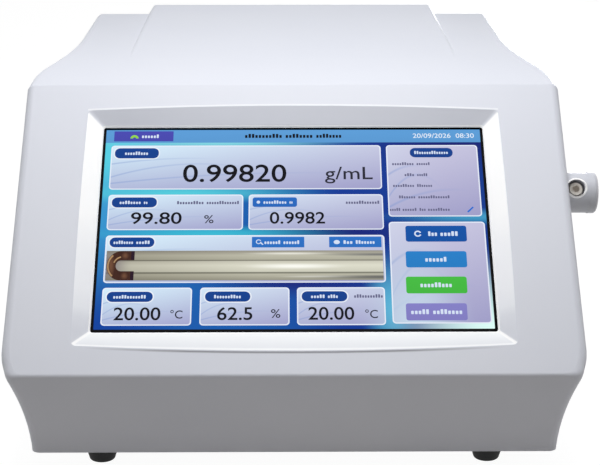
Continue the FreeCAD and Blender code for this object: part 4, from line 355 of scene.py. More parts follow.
class Finish(Nodes):
    """One procedural material, built node by node on a Principled shader."""

    def __init__(self, name, rough=0.5, metal=0.0, specular=0.5):
        self.material = bpy.data.materials.new(name)
        super().__init__(self.material)
        self.shader = self.node("BsdfPrincipled")
        self.node("OutputMaterial", {"Surface": self.shader.outputs["BSDF"]})
        self.put("Roughness", rough)
        self.put("Metallic", metal)
        self.put("Specular IOR Level", specular)

    def put(self, socket, value):
        self.give(self.shader.inputs[socket], value)

    def place(self, stretch=(1, 1, 1), shift=(0, 0, 0), space="Object"):
        """Coordinates of the surface, stretched and then moved."""
        own = self.node("TexCoord").outputs[space]
        return self.node("Mapping", {"Vector": own, "Scale": stretch, "Location": shift}).outputs["Vector"]

    def noise(self, place, scale, detail=3.0):
        return self.node("TexNoise", {"Vector": place, "Scale": scale, "Detail": detail}).outputs["Fac"]

    def cells(self, place, scale):
        return self.node("TexVoronoi", {"Vector": place, "Scale": scale}).outputs["Distance"]

    def wave(self, place, scale, direction):
        made = self.node("TexWave", {"Vector": place, "Scale": scale}, bands_direction=direction)
        return made.outputs["Fac"]

    def glow(self, place, centre, reach):
        """One at the centre, falling to zero at the reach, which is a width and a height."""
        spot = self.node("Mapping", {
            "Vector": place,
            "Scale": (1 / reach[0], 1 / reach[1], 1),
            "Location": (-centre[0] / reach[0], -centre[1] / reach[1], 0),
        }).outputs["Vector"]
        ball = self.node("TexGradient", {"Vector": spot}, gradient_type="SPHERICAL")
        return self.span(ball.outputs["Fac"], 0, 1, smooth=True)

    def axis(self, place, name):
        return self.node("SeparateXYZ", {"Vector": place}).outputs[name]

    def span(self, source, low, high, to_low=0.0, to_high=1.0, smooth=False):
        """The source between low and high, carried over to the second pair of values."""
        limits = {"Value": source, "From Min": low, "From Max": high, "To Min": to_low, "To Max": to_high}
        made = self.node("MapRange", limits, interpolation_type="SMOOTHSTEP" if smooth else "LINEAR")
        return made.outputs["Result"]

    def both(self, first, second):
        return self.maths("MULTIPLY", first, second)

    def shift(self, source, amount):
        return self.maths("ADD", source, amount)

    def size_of(self, source):
        return self.maths("ABSOLUTE", source)

    def below(self, source, level):
        return self.maths("LESS_THAN", source, level)

    def above(self, source, level):
        return self.maths("GREATER_THAN", source, level)

    def within(self, source, low, high):
        return self.both(self.above(source, low), self.below(source, high))

    def sum(self, first, second, first_share=1.0, second_share=1.0):
        """Two sources added, each times its share."""
        return self.maths("MULTIPLY_ADD", second, second_share, self.both(first, first_share))

    def along(self, place, direction):
        """How far a place or a normal reaches along a direction."""
        return self.vectors("DOT_PRODUCT", place, direction, result="Value")

    def radius(self, place, middle, line):
        """The distance from an axis that passes through the middle."""
        turned = self.vectors("CROSS_PRODUCT", self.vectors("SUBTRACT", place, middle), line)
        return self.vectors("LENGTH", turned, result="Value")

    def rim_line(self, source, middle, half):
        """A soft line: one where the source is at the middle, zero a half width away."""
        return self.span(self.size_of(self.shift(source, -middle)), 0.0, half, 1.0, 0.0, smooth=True)

    def streak(self, own, start, climb, droop, fade):
        """A thin curved line that rises from the left edge, bends down and fades out."""
        across = self.axis(own, "X")
        square = self.both(across, across)
        course = self.sum(self.sum(self.axis(own, "Y"), across, 1.0, -climb), square, 1.0, droop)
        line = self.rim_line(course, start, STREAK_HALF_SHARE)
        return self.both(line, self.span(across, 0.0, fade, STREAK_START_SHARE, 0.0))

    def mix(self, factor, first, second, blend="MIX"):
        """A colour between two, where each is a colour or another node's output."""
        inputs = {"Factor": factor, MIX_FIRST: first, MIX_SECOND: second}
        return self.node("Mix", inputs, data_type="RGBA", blend_type=blend).outputs[MIX_RESULT]

    def ramp(self, factor, stops):
        made = self.node("ValToRGB", {"Fac": factor})
        marks = made.color_ramp.elements
        while len(marks) < len(stops):
            marks.new(0.5)
        for mark, (position, colour) in zip(marks, stops):
            mark.position = position
            mark.color = colour
        return made.outputs["Color"]

    def tone(self, source, colour, dark_share, light_share):
        """The base colour, uneven between two shares of one colour."""
        self.put("Base Color", self.mix(source, shade(colour, dark_share), shade(colour, light_share)))

    def gloss(self, noise, low, high):
        """The roughness, which follows a noise from low to high."""
        self.put("Roughness", self.span(noise, *NOISE_SHARES, low, high))

    def bump(self, height, strength, depth):
        made = self.node("Bump", {"Strength": strength, "Distance": depth, "Height": height})
        self.put("Normal", made.outputs["Normal"])


def moulded(name, colour, rough=0.45, grain=900.0, relief=0.12, mottle=0.03, specular=0.5):
    """Plastic or rubber with a fine moulded grain and slightly uneven tone and gloss."""
    finish = Finish(name, rough, specular=specular)
    place = finish.place()
    cloud = finish.noise(place, scale=22.0)
    fine = finish.noise(place, grain, detail=2.0)
    finish.tone(cloud, colour, 1 - mottle, 1 + mottle)
    finish.gloss(finish.sum(cloud, fine, 0.6, 0.4), rough - 0.05, rough + 0.06)
    finish.bump(fine, strength=relief, depth=MOULD_GRAIN)
    return finish


def metal(name, colour, rough=0.32, stretch=(1, 1, 1), relief=0.1, grain=500.0):
    """Bare or plated metal, brushed where the stretch is uneven."""
    finish = Finish(name, rough, metal=1.0)
    place = finish.place(stretch)
    cloud = finish.noise(place, scale=40.0)
    fine = finish.noise(place, grain, detail=4.0)
    finish.tone(cloud, colour, 0.92, 1.04)
    finish.gloss(fine, rough - 0.08, rough + 0.1)
    finish.bump(fine, strength=relief, depth=METAL_GRAIN)
    return finish


def painted(name, colour, rough=0.4):
    """Powder coat with a light orange peel."""
    finish = Finish(name, rough)
    place = finish.place()
    peel = finish.noise(place, scale=420.0, detail=2.0)
    cloud = finish.noise(place, scale=15.0)
    finish.tone(cloud, colour, 0.96, 1.03)
    finish.gloss(peel, rough - 0.05, rough + 0.08)
    finish.bump(peel, strength=0.25, depth=PEEL_DEPTH)
    return finish


def clear(name, colour):
    """Glass or clear plastic with faint ripples."""
    finish = Finish(name, rough=0.05)
    ripple = finish.noise(finish.place(), scale=120.0)
    finish.tone(ripple, colour, 0.97, 1.0)
    finish.put("Transmission Weight", 0.9)
    finish.put("IOR", 1.47)
    finish.bump(ripple, strength=0.02, depth=RIPPLE_DEPTH)
    return finish


def foam(name, colour):
    """Open foam with small round pores."""
    finish = Finish(name, rough=0.95, specular=0.2)
    pores = finish.cells(finish.place(), scale=900.0)
    finish.tone(pores, colour, 0.5, 1.2)
    finish.bump(pores, strength=0.6, depth=PORE_DEPTH)
    return finish


def board_finish():
    """Circuit boards with their parts, all under one coat of green lacquer."""
    finish = Finish("green_board", rough=0.35)
    place = finish.place()
    finish.tone(finish.noise(place, scale=90.0), rgb(24, 92, 52), 0.88, 1.08)
    finish.bump(finish.noise(place, scale=700.0), strength=0.1, depth=BOARD_GRAIN)
    return finish


def camera_board_finish():
    """A blue board with gold parts on top."""
    finish = Finish("camera_board", rough=0.45)
    place = finish.place()
    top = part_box("camera_board")[0].z + CAMERA_BOARD_T + CAMERA_BOARD_OVER
    upper = finish.above(finish.axis(place, "Z"), top)
    cloud = finish.noise(place, scale=90.0)
    blue = rgb(20, 60, 110)
    gold = rgb(200, 176, 110)
    low = finish.mix(cloud, shade(blue, 0.88), shade(blue, 1.08))
    high = finish.mix(cloud, shade(gold, 0.85), shade(gold, 1.1))
    finish.put("Base Color", finish.mix(upper, low, high))
    finish.put("Roughness", finish.span(upper, 0, 1, 0.45, 0.4))
    finish.bump(finish.noise(place, scale=700.0), strength=0.1, depth=BOARD_GRAIN)
    return finish


def from_picture(finish, place, direction):
    """How far a place lies from the centre of the picture along a direction."""
    return finish.shift(finish.along(place, direction), -direction.dot(PICTURE_CENTRE))


def slope_painted_light(finish, level, rise, reach):
    """Painted light on the recess slopes: the lower slope painted by its level, the side slopes painted
    darker towards the bottom, with painted highlights on the mitres between.
    """
    # Painted light: the lower slope is whitest next to the glass, dimmer further out and pale again at its
    # top
    low_slope_painted_light = finish.ramp(finish.span(level, BEVEL_OVER_GLASS, FASCIA_OVER_GLASS), [
        (0.0, WHITE),
        (0.1, rgb(248, 250, 252)),
        (0.82, rgb(234, 236, 240)),
        (0.9, rgb(250, 251, 253)),
        (1.0, rgb(250, 251, 253)),
    ])
    # Painted shade: the side slopes grow darker towards their lower ends
    side_slope_painted_shade = finish.ramp(finish.span(rise, *SIDE_SLOPE_RISE), [
        (0.0, rgb(216, 218, 226)),
        (0.12, rgb(224, 226, 233)),
        (0.2, rgb(236, 238, 243)),
        (0.35, rgb(243, 244, 248)),
        (0.7, rgb(246, 247, 250)),
        (1.0, WHITE),
    ])
    mitre = finish.shift(finish.sum(reach, rise, *MITRE_SHARES), -MITRE_REACH)
    tone = finish.mix(finish.above(mitre, 0.0), low_slope_painted_light, side_slope_painted_shade)
    # Painted highlight: a thin white line along each lower mitre
    mitre_painted_highlight = finish.both(finish.span(finish.size_of(mitre), *MITRE_PAINTED_HIGHLIGHT, 1, 0), finish.below(rise, 0.0))
    return finish.mix(mitre_painted_highlight, tone, WHITE)


def rim_painted_lines(finish, colour, level, rise, across):
    """Adds a painted shadow line under the bowed lower edge of the recess and a painted highlight line over
    its bowed upper edge.
    """
    reach = finish.size_of(across)
    crown = finish.both(finish.both(across, across), RECESS_BOW / RECESS_HALF ** 2)
    # Painted shadow: a dark line on the fascia just under the lower edge, fading towards the sides
    under = finish.rim_line(finish.sum(rise, crown, -1.0, 1.0), PAINTED_SHADOW_LINE_RISE, PAINTED_SHADOW_LINE_HALF)
    under = finish.both(under, finish.span(reach, *PAINTED_SHADOW_LINE_FADE, PAINTED_SHADOW_LINE_SHARE, 0.0))
    under = finish.both(under, finish.above(level, FASCIA_OVER_GLASS - RECESS_EDGE))
    colour = finish.mix(under, colour, rgb(118, 118, 124))
    # Painted highlight: a pale line just over the upper edge
    over = finish.rim_line(finish.sum(rise, crown), PAINTED_HIGHLIGHT_LINE_RISE, PAINTED_HIGHLIGHT_LINE_HALF)
    return finish.mix(finish.both(over, finish.below(reach, RECESS_HALF)), colour, rgb(236, 238, 243))


def recess_colour_and_painted_light(finish, place, skin):
    """The housing colour, with painted light and shade on the slopes, a painted shadow line and a painted
    highlight line at the rims, a painted highlight on the bevel, and the dark wall of the screen recess.
    """
    level = from_picture(finish, place, OUTWARD)
    rise = from_picture(finish, place, UP_SLOPE)
    across = from_picture(finish, place, ACROSS)
    reach = finish.size_of(across)
    beside = finish.below(reach, RECESS_REACH_X)
    near = finish.both(beside, finish.below(finish.size_of(rise), RECESS_REACH_RISE))
    normal = finish.node("TexCoord").outputs["Normal"]
    sunk = finish.both(near, finish.below(level, FASCIA_OVER_GLASS - RECESS_EDGE))
    slope = finish.both(sunk, finish.span(finish.along(normal, UP_SLOPE), *RECESS_FACING_SHARES))
    colour = finish.mix(slope, skin, slope_painted_light(finish, level, rise, reach))
    # Painted highlight: the bevel next to the glass is made white
    bevel = finish.both(near, finish.below(level, BEVEL_OVER_GLASS + RECESS_EDGE))
    colour = finish.mix(bevel, colour, WHITE)
    wall = finish.both(near, finish.below(level, WALL_OVER_GLASS))
    colour = finish.mix(wall, colour, rgb(10, 10, 12))
    return rim_painted_lines(finish, colour, level, rise, across)


def housing_finish():
    """Pale satin plastic: a fine spark-eroded grain, faint flow clouds and a soft sheen, with painted light
    and shade round the screen recess.
    """
    finish = Finish("pale_housing", rough=0.5, specular=0.35)
    place = finish.place()
    cloud = finish.noise(place, scale=9.0, detail=4.0)
    grain = finish.noise(place, scale=1500.0, detail=2.0)
    spots = finish.cells(place, scale=2600.0)
    skin = finish.mix(cloud, rgb(212, 215, 225), rgb(218, 220, 228))
    finish.put("Base Color", recess_colour_and_painted_light(finish, place, skin))
    finish.gloss(grain, 0.46, 0.58)
    finish.bump(finish.sum(grain, spots, 0.6, 0.4), strength=0.12, depth=SATIN_GRAIN)
    return finish


def port_finish():
    """Smooth pale plastic, with a painted bluer light on top and a painted white highlight on the bevel round
    the inlet hole.
    """
    finish = Finish("port_plastic", rough=0.4, specular=0.4)
    place = finish.place()
    cloud = finish.noise(place, scale=40.0)
    fine = finish.noise(place, scale=1500.0, detail=2.0)
    body = finish.mix(cloud, rgb(204, 206, 212), rgb(208, 210, 216))
    # Painted light: the upper part of the barrel is made bluer
    height = finish.axis(place, "Z")
    upper = finish.span(height, PORT_MIDDLE.z - PORT_SHADE_LOW, PORT_MIDDLE.z + PORT_SHADE_HIGH)
    body = finish.mix(upper, body, rgb(206, 208, 216))
    # Painted highlight: the bevel round the inlet hole is made white
    radius = finish.radius(place, PORT_MIDDLE, PORT_LINE)
    front = finish.below(finish.axis(place, "Y"), PORT_MIDDLE.y)
    bevel = finish.both(finish.within(radius, *INLET_PAINTED_HIGHLIGHT), front)
    finish.put("Base Color", finish.mix(bevel, body, WHITE))
    finish.gloss(fine, 0.35, 0.46)
    finish.bump(fine, strength=0.06, depth=SATIN_GRAIN)
    return finish


def adapter_finish():
    """Frosted beige plastic, paler at its rim, with a painted glow near its axis that stands in for light
    coming through it.
    """
    finish = Finish("frosted_adapter", rough=0.55, specular=0.4)
    place = finish.place()
    fine = finish.noise(place, scale=600.0)
    radius = finish.radius(place, PORT_MIDDLE, PORT_LINE)
    colour = finish.mix(finish.span(radius, *ADAPTER_FADE), rgb(176, 170, 162), rgb(214, 209, 200))
    finish.put("Base Color", colour)
    finish.gloss(fine, 0.5, 0.62)
    # Painted glow: the middle of the adapter shines faintly, though nothing in it is a lamp
    finish.put("Emission Strength", finish.span(radius, *ADAPTER_PAINTED_GLOW_CORE, ADAPTER_PAINTED_GLOW, 0.0))
    finish.put("Emission Color", rgb(200, 192, 184))
    finish.bump(fine, strength=0.1, depth=SATIN_GRAIN)
    return finish


def drive_finish():
    """Copper windings under lacquer on the drive coil, with the dark magnet above the glass tube."""
    finish = Finish("drive_coil", rough=0.35)
    place = finish.place()
    turns = finish.wave(place, scale=900.0, direction="Z")
    upper = finish.above(finish.axis(place, "Z"), middle_of(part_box("oscillator_tube")).z)
    copper = finish.mix(turns, rgb(120, 60, 30), rgb(205, 120, 70))
    finish.put("Base Color", finish.mix(upper, copper, rgb(40, 40, 42)))
    finish.put("Coat Weight", 0.4)
    finish.bump(turns, strength=0.5, depth=TURN_DEPTH)
    return finish


def wiring_finish():
    """Grey flat cable with a stripe at each wire, and brown and blue mains leads at the right."""
    finish = Finish("cables", rough=0.5)
    place = finish.place()
    across = finish.axis(place, "X")
    stripes = finish.wave(place, scale=390.0, direction="X")
    fine = finish.noise(place, scale=300.0)
    flat = finish.mix(stripes, rgb(120, 122, 126), rgb(180, 181, 184))
    leads = finish.mix(finish.above(across, BROWN_LEAD_X), rgb(35, 70, 150), rgb(105, 65, 40))
    finish.put("Base Color", finish.mix(finish.above(across, FLAT_CABLE_END_X), flat, leads))
    finish.bump(finish.sum(stripes, fine, 0.7, 0.3), strength=0.4, depth=WIRE_DEPTH)
    return finish


def beads_finish():
    """Orange drying beads seen through the clear skin of the cartridge."""
    finish = Finish("drying_beads", rough=0.25)
    place = finish.place()
    beads = finish.cells(place, scale=420.0)
    bright = finish.mix(finish.noise(place, scale=160.0), rgb(225, 120, 40), rgb(240, 165, 80))
    finish.put("Base Color", finish.mix(beads, bright, rgb(150, 70, 20)))
    finish.put("Coat Weight", 0.8)
    finish.put("Coat Roughness", 0.05)
    finish.bump(beads, strength=0.5, depth=BEAD_DEPTH)
    return finish


def glass_finish():
    """The printed black border: jet black behind clean glass, with the faintest smudges."""
    finish = Finish("touch_glass", rough=0.08, specular=0.01)
    smudge = finish.noise(finish.place(), scale=30.0, detail=5.0)
    finish.put("Base Color", finish.mix(smudge, rgb(4, 4, 6), rgb(9, 9, 12)))
    finish.gloss(smudge, 0.05, 0.14)
    return finish


def tubing_finish():
    """Soft clear plastic, slightly milky."""
    finish = moulded("clear_tubing", rgb(226, 228, 226), rough=0.3, grain=300.0, relief=0.05, mottle=0.02)
    finish.put("Transmission Weight", 0.45)
    return finish


def dress_nodes():
    screws = metal("plated_screws", rgb(190, 190, 188), rough=0.28)
    black_plastic = moulded("black_plastic", rgb(24, 24, 26), rough=0.42, grain=1200.0, relief=0.15,
                            mottle=0.08)
    black_rubber = moulded("black_rubber", rgb(20, 20, 21), rough=0.72, grain=700.0, relief=0.3, mottle=0.15,
                           specular=0.35)
    steel = metal("folded_steel", STEEL, rough=0.34, stretch=(1, 12, 1), relief=0.12, grain=240.0)
    boards = board_finish()
    connector = metal("connector_shield", rgb(198, 200, 202), rough=0.3, stretch=(1, 8, 1))
    tube = tubing_finish()
    port = port_finish()
    plans = {
        "upper_housing": housing_finish(),
        "base_plate": painted("base_paint", rgb(150, 152, 156)),
        "rear_panel": painted("panel_paint", rgb(176, 177, 182)),
        "rubber_feet": black_rubber,
        "display_gasket": foam("gasket_foam", rgb(22, 22, 24)),
        "touch_glass": glass_finish(),
        "display_module": painted("module_frame", rgb(60, 61, 64), rough=0.5),
        "display_bracket": steel,
        "port_housing": port,
        "port_cap": port,
        "port_seal": black_rubber,
        "port_nut": metal("nickel_brass", rgb(200, 196, 180), rough=0.25),
        "inlet_adapter": adapter_finish(),
        "inlet_tube": tube,
        "waste_tube": tube,
        "air_hoses": moulded("silicone_hose", rgb(205, 208, 206), rough=0.5, grain=400.0, relief=0.05),
        "cell_shelf": steel,
        "cell_block": metal("cell_aluminium", rgb(205, 206, 210), rough=0.3, stretch=(12, 1, 1), relief=0.12,
                            grain=260.0),
        "cell_window": clear("window_glass", rgb(235, 245, 243)),
        "cell_jacket": foam("jacket_foam", rgb(40, 41, 44)),
        "oscillator_tube": clear("tube_glass", rgb(244, 248, 246)),
        "tube_clamp": metal("clamp_brass", BRASS, rough=0.3),
        "cell_drive": drive_finish(),
        "temperature_probe": metal("probe_steel", rgb(200, 200, 202), rough=0.2, stretch=(10, 1, 1)),
        "cell_light": moulded("light_bar", rgb(240, 240, 232), rough=0.35),
        "peltier_modules": moulded("white_ceramic", rgb(232, 231, 226), rough=0.6, grain=500.0, relief=0.2),
        "heat_sink": metal("sink_aluminium", rgb(176, 178, 182), rough=0.38, stretch=(1, 1, 14), relief=0.2,
                           grain=260.0),
        "camera_arm": painted("black_bracket", rgb(38, 38, 40)),
        "camera_board": camera_board_finish(),
        "camera_lens": moulded("lens_barrel", rgb(22, 22, 24), rough=0.3, relief=0.1),
        "fan_frame": black_plastic,
        "fan_rotor": moulded("rotor_plastic", rgb(30, 30, 32), rough=0.35, relief=0.08),
        "fan_guard": metal("chromed_wire", rgb(214, 215, 218), rough=0.16),
        "pump_case": moulded("pump_plastic", rgb(60, 62, 66), rough=0.5),
        "pump_motor": metal("motor_can", rgb(178, 180, 182), rough=0.3, stretch=(10, 1, 1)),
        "pump_crank": metal("crank_brass", BRASS, rough=0.3),
        "pump_diaphragm": black_rubber,
        "pump_cover": moulded("pump_cover_plastic", rgb(208, 206, 198), rough=0.5),
        "pump_bracket": steel,
        "dryer_tube": beads_finish(),
        "dryer_caps": moulded("cap_plastic", rgb(44, 84, 150)),
        "dryer_clips": moulded("white_nylon", rgb(225, 224, 218), grain=800.0, relief=0.1),
        "main_board": boards,
        "power_board": boards,
        "standoffs": metal("standoff_brass", BRASS, rough=0.28),
        "network_port": connector,
        "usb_ports": connector,
        "serial_port": metal("serial_shield", rgb(190, 192, 196), rough=0.28, stretch=(1, 8, 1)),
        "mains_inlet": black_plastic,
        "mains_pins": metal("nickel_blades", rgb(206, 204, 196), rough=0.22, stretch=(1, 10, 1)),
        "fuse_drawer": moulded("drawer_plastic", rgb(32, 32, 34), rough=0.38),
        "fuses": metal("fuse_caps", rgb(204, 204, 200), rough=0.22),
        "power_switch": black_plastic,
        "rocker": moulded("rocker_plastic", rgb(26, 26, 28), rough=0.3, grain=1400.0, relief=0.08),
        "hose_outlets": metal("outlet_brass", rgb(208, 205, 196), rough=0.24),
        "wiring": wiring_finish(),
    }
    for name, node in NODES.items():
        finish = plans.get(name, screws)
        if not node.material_slots:
            node.data.materials.append(finish.material)
        for slot in node.material_slots:
            slot.material = finish.material


# The screen picture


def on_screen(u, v, level):
    """The place of a grid position, so many print layers in front of the glass."""
    across = ACROSS * ((u / GRID_U - 0.5) * PICTURE_WIDTH)
    return PICTURE_CENTRE + across + UP_SLOPE * (0.5 - v / GRID_V) * PICTURE_HEIGHT + OUTWARD * level * LAYER


def inset(box, step):
    u0, v0, u1, v1 = box
    return (u0 + step, v0 + step, u1 - step, v1 - step)


def rounded(box, radius):
    """The outline of a rectangle with round corners."""
    u0, v0, u1, v1 = box
    radius = min(radius, (u1 - u0) / 2, (v1 - v0) / 2)
    left, top, right, bottom = inset(box, radius)
    points = []
    for u, v, start in ((right, top, -90), (right, bottom, 0), (left, bottom, 90), (left, top, 180)):
        for step in range(CORNER_STEPS + 1):
            turn = math.radians(start + 90 * step / CORNER_STEPS)
            points.append((u + radius * math.cos(turn), v + radius * math.sin(turn)))
    return points


def cards(boxes, radius):
    """The outlines of several boxes with the same round corners."""
    return [rounded(box, radius) for box in boxes]


def band(u, v, outer, inner, start, sweep, steps=BAND_STEPS, narrow=1.0):
    """The outline of a flat arc band, with its angles in degrees, narrowed across where asked."""
    turns = [math.radians(start + sweep * step / steps) for step in range(steps + 1)]
    outside = [(u + outer * narrow * math.cos(turn), v + outer * math.sin(turn)) for turn in turns]
    inside = [(u + inner * narrow * math.cos(turn), v + inner * math.sin(turn)) for turn in reversed(turns)]
    return outside + inside


def disc(u, v, half_width, half_height):
    turns = [math.radians(360 * step / DISC_STEPS) for step in range(DISC_STEPS)]
    return [(u + half_width * math.cos(turn), v + half_height * math.sin(turn)) for turn in turns]


def words(rows):
    """Small plain blocks, tall and low by turns, that stand where the picture has words."""
    blocks = []
    for middle, height, spans in rows:
        for u0, u1 in spans:
            count = max(WORD_LEAST, round((u1 - u0) / (height * WORD_PITCH_SHARE)))
            pitch = (u1 - u0) / count
            bottom = middle + height / 2
            for index in range(count):
                rise = height * WORD_RISE_SHARES[(index * WORD_SKIP + count) % len(WORD_RISE_SHARES)]
                left = u0 + pitch * index
                blocks.append(rounded((left, bottom - rise, left + pitch * WORD_BLOCK_SHARE, bottom), WORD_R))
    return blocks


def plate(form, backs, fronts):
    """The faces of a flat plate between the corners of its back and of its front."""
    faces = [form.faces.new(fronts), form.faces.new(list(reversed(backs)))]
    for index, back in enumerate(backs):
        after = (index + 1) % len(backs)
        faces.append(form.faces.new([back, backs[after], fronts[after], fronts[index]]))
    return faces


def place_form(form, name, finish):
    """Turns a form into an object of the scene."""
    bmesh.ops.recalc_face_normals(form, faces=form.faces)
    mesh = bpy.data.meshes.new(name)
    form.to_mesh(mesh)
    form.free()
    mesh.materials.append(finish.material)
    piece = bpy.data.objects.new(name, mesh)
    bpy.context.scene.collection.objects.link(piece)
    return piece


def show(form, name, finish):
    """Puts a screen piece into the scene, on the instrument."""
    piece = place_form(form, name, finish)
    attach(piece, "instrument")


def layer(name, outlines, level, finish):
    """Thin printed shapes in one layer of the picture, each with its own 0 to 1 coordinates."""
    form = bmesh.new()
    uv = form.loops.layers.uv.new("own")
    for outline in outlines:
        us = [u for u, v in outline]
        vs = [v for u, v in outline]
        width = max(us) - min(us)
        height = max(vs) - min(vs)
        backs = [form.verts.new(on_screen(u, v, level)) for u, v in outline]
        fronts = [form.verts.new(on_screen(u, v, level + 1)) for u, v in outline]
        spots = {vert: point for verts in (backs, fronts) for vert, point in zip(verts, outline)}
        for face in plate(form, backs, fronts):
            for loop in face.loops:
                u, v = spots[loop.vert]
                loop[uv].uv = ((u - min(us)) / width, (max(vs) - v) / height)
    show(form, name, finish)


def glyph_mesh(name, text, weight):
    """The solid letters of a text, one print layer thick."""
    curve = bpy.data.curves.new(name, "FONT")
    curve.body = text
    curve.resolution_u = FONT_STEPS
    curve.offset = weight
    curve.extrude = FONT_HALF_T
    holder = bpy.data.objects.new(name + "_text", curve)
    bpy.context.scene.collection.objects.link(holder)
    graph = bpy.context.evaluated_depsgraph_get()
    glyphs = bpy.data.meshes.new_from_object(holder.evaluated_get(graph))
    bpy.data.objects.remove(holder)
    bpy.data.curves.remove(curve)
    return glyphs


def figures(name, rows, level, finish, weight=0.01):
    """Plain figures and units, each stretched to fill its place in the picture."""
    form = bmesh.new()
    for text, u0, u1, v0, v1 in rows:
        glyphs = glyph_mesh(name, text, weight)
        xs = [vert.co.x for vert in glyphs.vertices]
        ys = [vert.co.y for vert in glyphs.vertices]
        for vert in glyphs.vertices:
            u = u0 + (vert.co.x - min(xs)) / (max(xs) - min(xs)) * (u1 - u0)
            v = v1 - (vert.co.y - min(ys)) / (max(ys) - min(ys)) * (v1 - v0)
            vert.co = on_screen(u, v, level + FONT_HALF_T + vert.co.z)
        form.from_mesh(glyphs)
        bpy.data.meshes.remove(glyphs)
    show(form, name, finish)


def lit(name, colour=None):
    """A part of the picture: it shines in its colour and keeps a little gloss from the glass."""
    finish = Finish(name, rough=0.15, specular=0.005)
    finish.put("Base Color", rgb(3, 3, 4))
    finish.put("Emission Strength", 1.0)
    if colour:
        place = finish.place(space="UV")
        drift = finish.sum(finish.axis(place, "Y"), finish.noise(place, scale=6.0), 0.6, 0.4)
        finish.put("Emission Color", finish.mix(drift, shade(colour, 0.94), shade(colour, 1.05)))
    return finish


def screen_axes(finish):
    """0 to 1 across and up the whole picture, from the place on the instrument."""
    corner = on_screen(0, GRID_V, 0)
    rise = on_screen(0, 0, 0).z - corner.z
    spot = finish.place((1 / PICTURE_WIDTH, 1, 1 / rise), (-corner.x / PICTURE_WIDTH, 0, -corner.z / rise))
    sides = {"X": finish.axis(spot, "X"), "Y": finish.axis(spot, "Z")}
    return finish.node("CombineXYZ", sides).outputs["Vector"]


def add_glows(finish, place, colour, glow_shares):
    """Lays soft round patches over a colour: centre, reach and tint of each, in shares of the surface."""
    for centre, reach, tint in glow_shares:
        colour = finish.mix(finish.glow(place, centre, reach), colour, tint)
    return colour


def backdrop_finish():
    """Deep blue that turns to turquoise at the left and the top and glows at the low right corner."""
    finish = lit("picture_backdrop")
    place = screen_axes(finish)
    colour = finish.ramp(finish.axis(place, "X"), [
        (0.0, rgb(58, 150, 208)),
        (0.3, rgb(28, 104, 182)),
        (0.62, rgb(20, 58, 150)),
        (1.0, rgb(24, 60, 142)),
    ])
    finish.put("Emission Color", add_glows(finish, place, colour, (
        ((0.02, 0.02), (0.5, 0.55), rgb(18, 66, 158)),
        ((0.5, 0.24), (0.3, 0.1), rgb(26, 40, 124)),
        ((0.6, 0.47), (0.34, 0.09), rgb(24, 34, 118)),
        ((0.0, 0.86), (0.3, 0.3), rgb(88, 208, 228)),
        ((0.2, 0.67), (0.42, 0.06), rgb(84, 204, 220)),
        ((0.28, 0.47), (0.4, 0.05), rgb(58, 186, 212)),
        ((0.3, 0.93), (0.42, 0.05), rgb(132, 216, 226)),
        ((0.92, 0.96), (0.3, 0.25), rgb(26, 34, 112)),
        ((0.98, 0.55), (0.3, 0.05), rgb(66, 154, 196)),
        ((0.74, 0.12), (0.08, 0.3), rgb(88, 176, 212)),
        ((1.0, 0.0), (0.3, 0.42), rgb(222, 255, 248)),
    )))
    return finish


def panel_finish():
    """Icy blue that turns to lilac downwards and to the right, with soft silky streaks."""
    finish = lit("picture_panels")
    own = finish.place(space="UV")
    place = screen_axes(finish)
    down = finish.sum(finish.axis(own, "Y"), finish.axis(own, "X"), -0.85, 0.25)
    fall = finish.span(down, -0.85, 0.25)
    left = finish.mix(fall, rgb(214, 238, 252), rgb(166, 168, 208))
    right = finish.mix(fall, rgb(206, 204, 228), rgb(160, 158, 200))
    colour = finish.mix(finish.span(finish.axis(place, "X"), 0.1, 0.9), left, right)
    streak_shares = ((0.27, 1.9, 2.9, 0.6), (0.58, 0.9, 1.5, 0.4), (0.12, 0.7, 0.5, 0.9))
    for start, climb, droop, fade in streak_shares:
        colour = finish.mix(finish.streak(own, start, climb, droop, fade), colour, rgb(126, 152, 208))
    colour = add_glows(finish, place, colour, (((0.8, 0.02), (0.16, 0.5), rgb(196, 214, 232)),))
    finish.put("Emission Color", colour)
    return finish


def cell_view_finish():
    """The cell camera's view: pale glass legs side by side, with a bright liquid thread between them."""
    finish = lit("picture_cell_view")
    place = finish.place(space="UV")
    legs = finish.ramp(finish.axis(place, "Y"), [
        (0.0, rgb(150, 148, 132)),
        (0.2, rgb(188, 186, 168)),
        (0.255, rgb(104, 104, 92)),
        (0.29, rgb(206, 205, 188)),
        (0.5, rgb(222, 221, 204)),
        (0.64, rgb(202, 200, 184)),
        (0.665, rgb(110, 108, 98)),
        (0.7, rgb(176, 174, 156)),
        (0.84, rgb(190, 188, 170)),
        (1.0, rgb(150, 146, 134)),
    ])
    left = finish.mix(finish.span(finish.axis(place, "X"), 0.0, 0.55), rgb(172, 166, 156), WHITE)
    colour = finish.mix(0.55, legs, left, blend="MULTIPLY")
    finish.put("Emission Color", add_glows(finish, place, colour, (
        ((0.68, 0.47), (0.22, 0.12), rgb(252, 252, 244)),
        ((0.66, 0.9), (0.2, 0.06), rgb(232, 231, 220)),
        ((0.78, 0.12), (0.2, 0.05), rgb(214, 213, 202)),
        ((1.0, 0.86), (0.3, 0.08), rgb(120, 120, 118)),
        ((1.0, 0.1), (0.34, 0.1), rgb(104, 104, 102)),
        ((0.0, 0.5), (0.1, 0.7), rgb(126, 116, 122)),
    )))
    return finish


def bend_finish():
    """Brown liquid in the bend, darker towards its rim."""
    finish = lit("picture_cell_bend")
    place = finish.place(space="UV")
    tone = finish.noise(place, scale=5.0)
    depth = finish.sum(finish.glow(place, (0.3, 0.5), (0.35, 0.5)), tone, 0.5, 0.2)
    finish.put("Emission Color", finish.mix(depth, rgb(52, 26, 24), rgb(138, 96, 70)))
    return finish


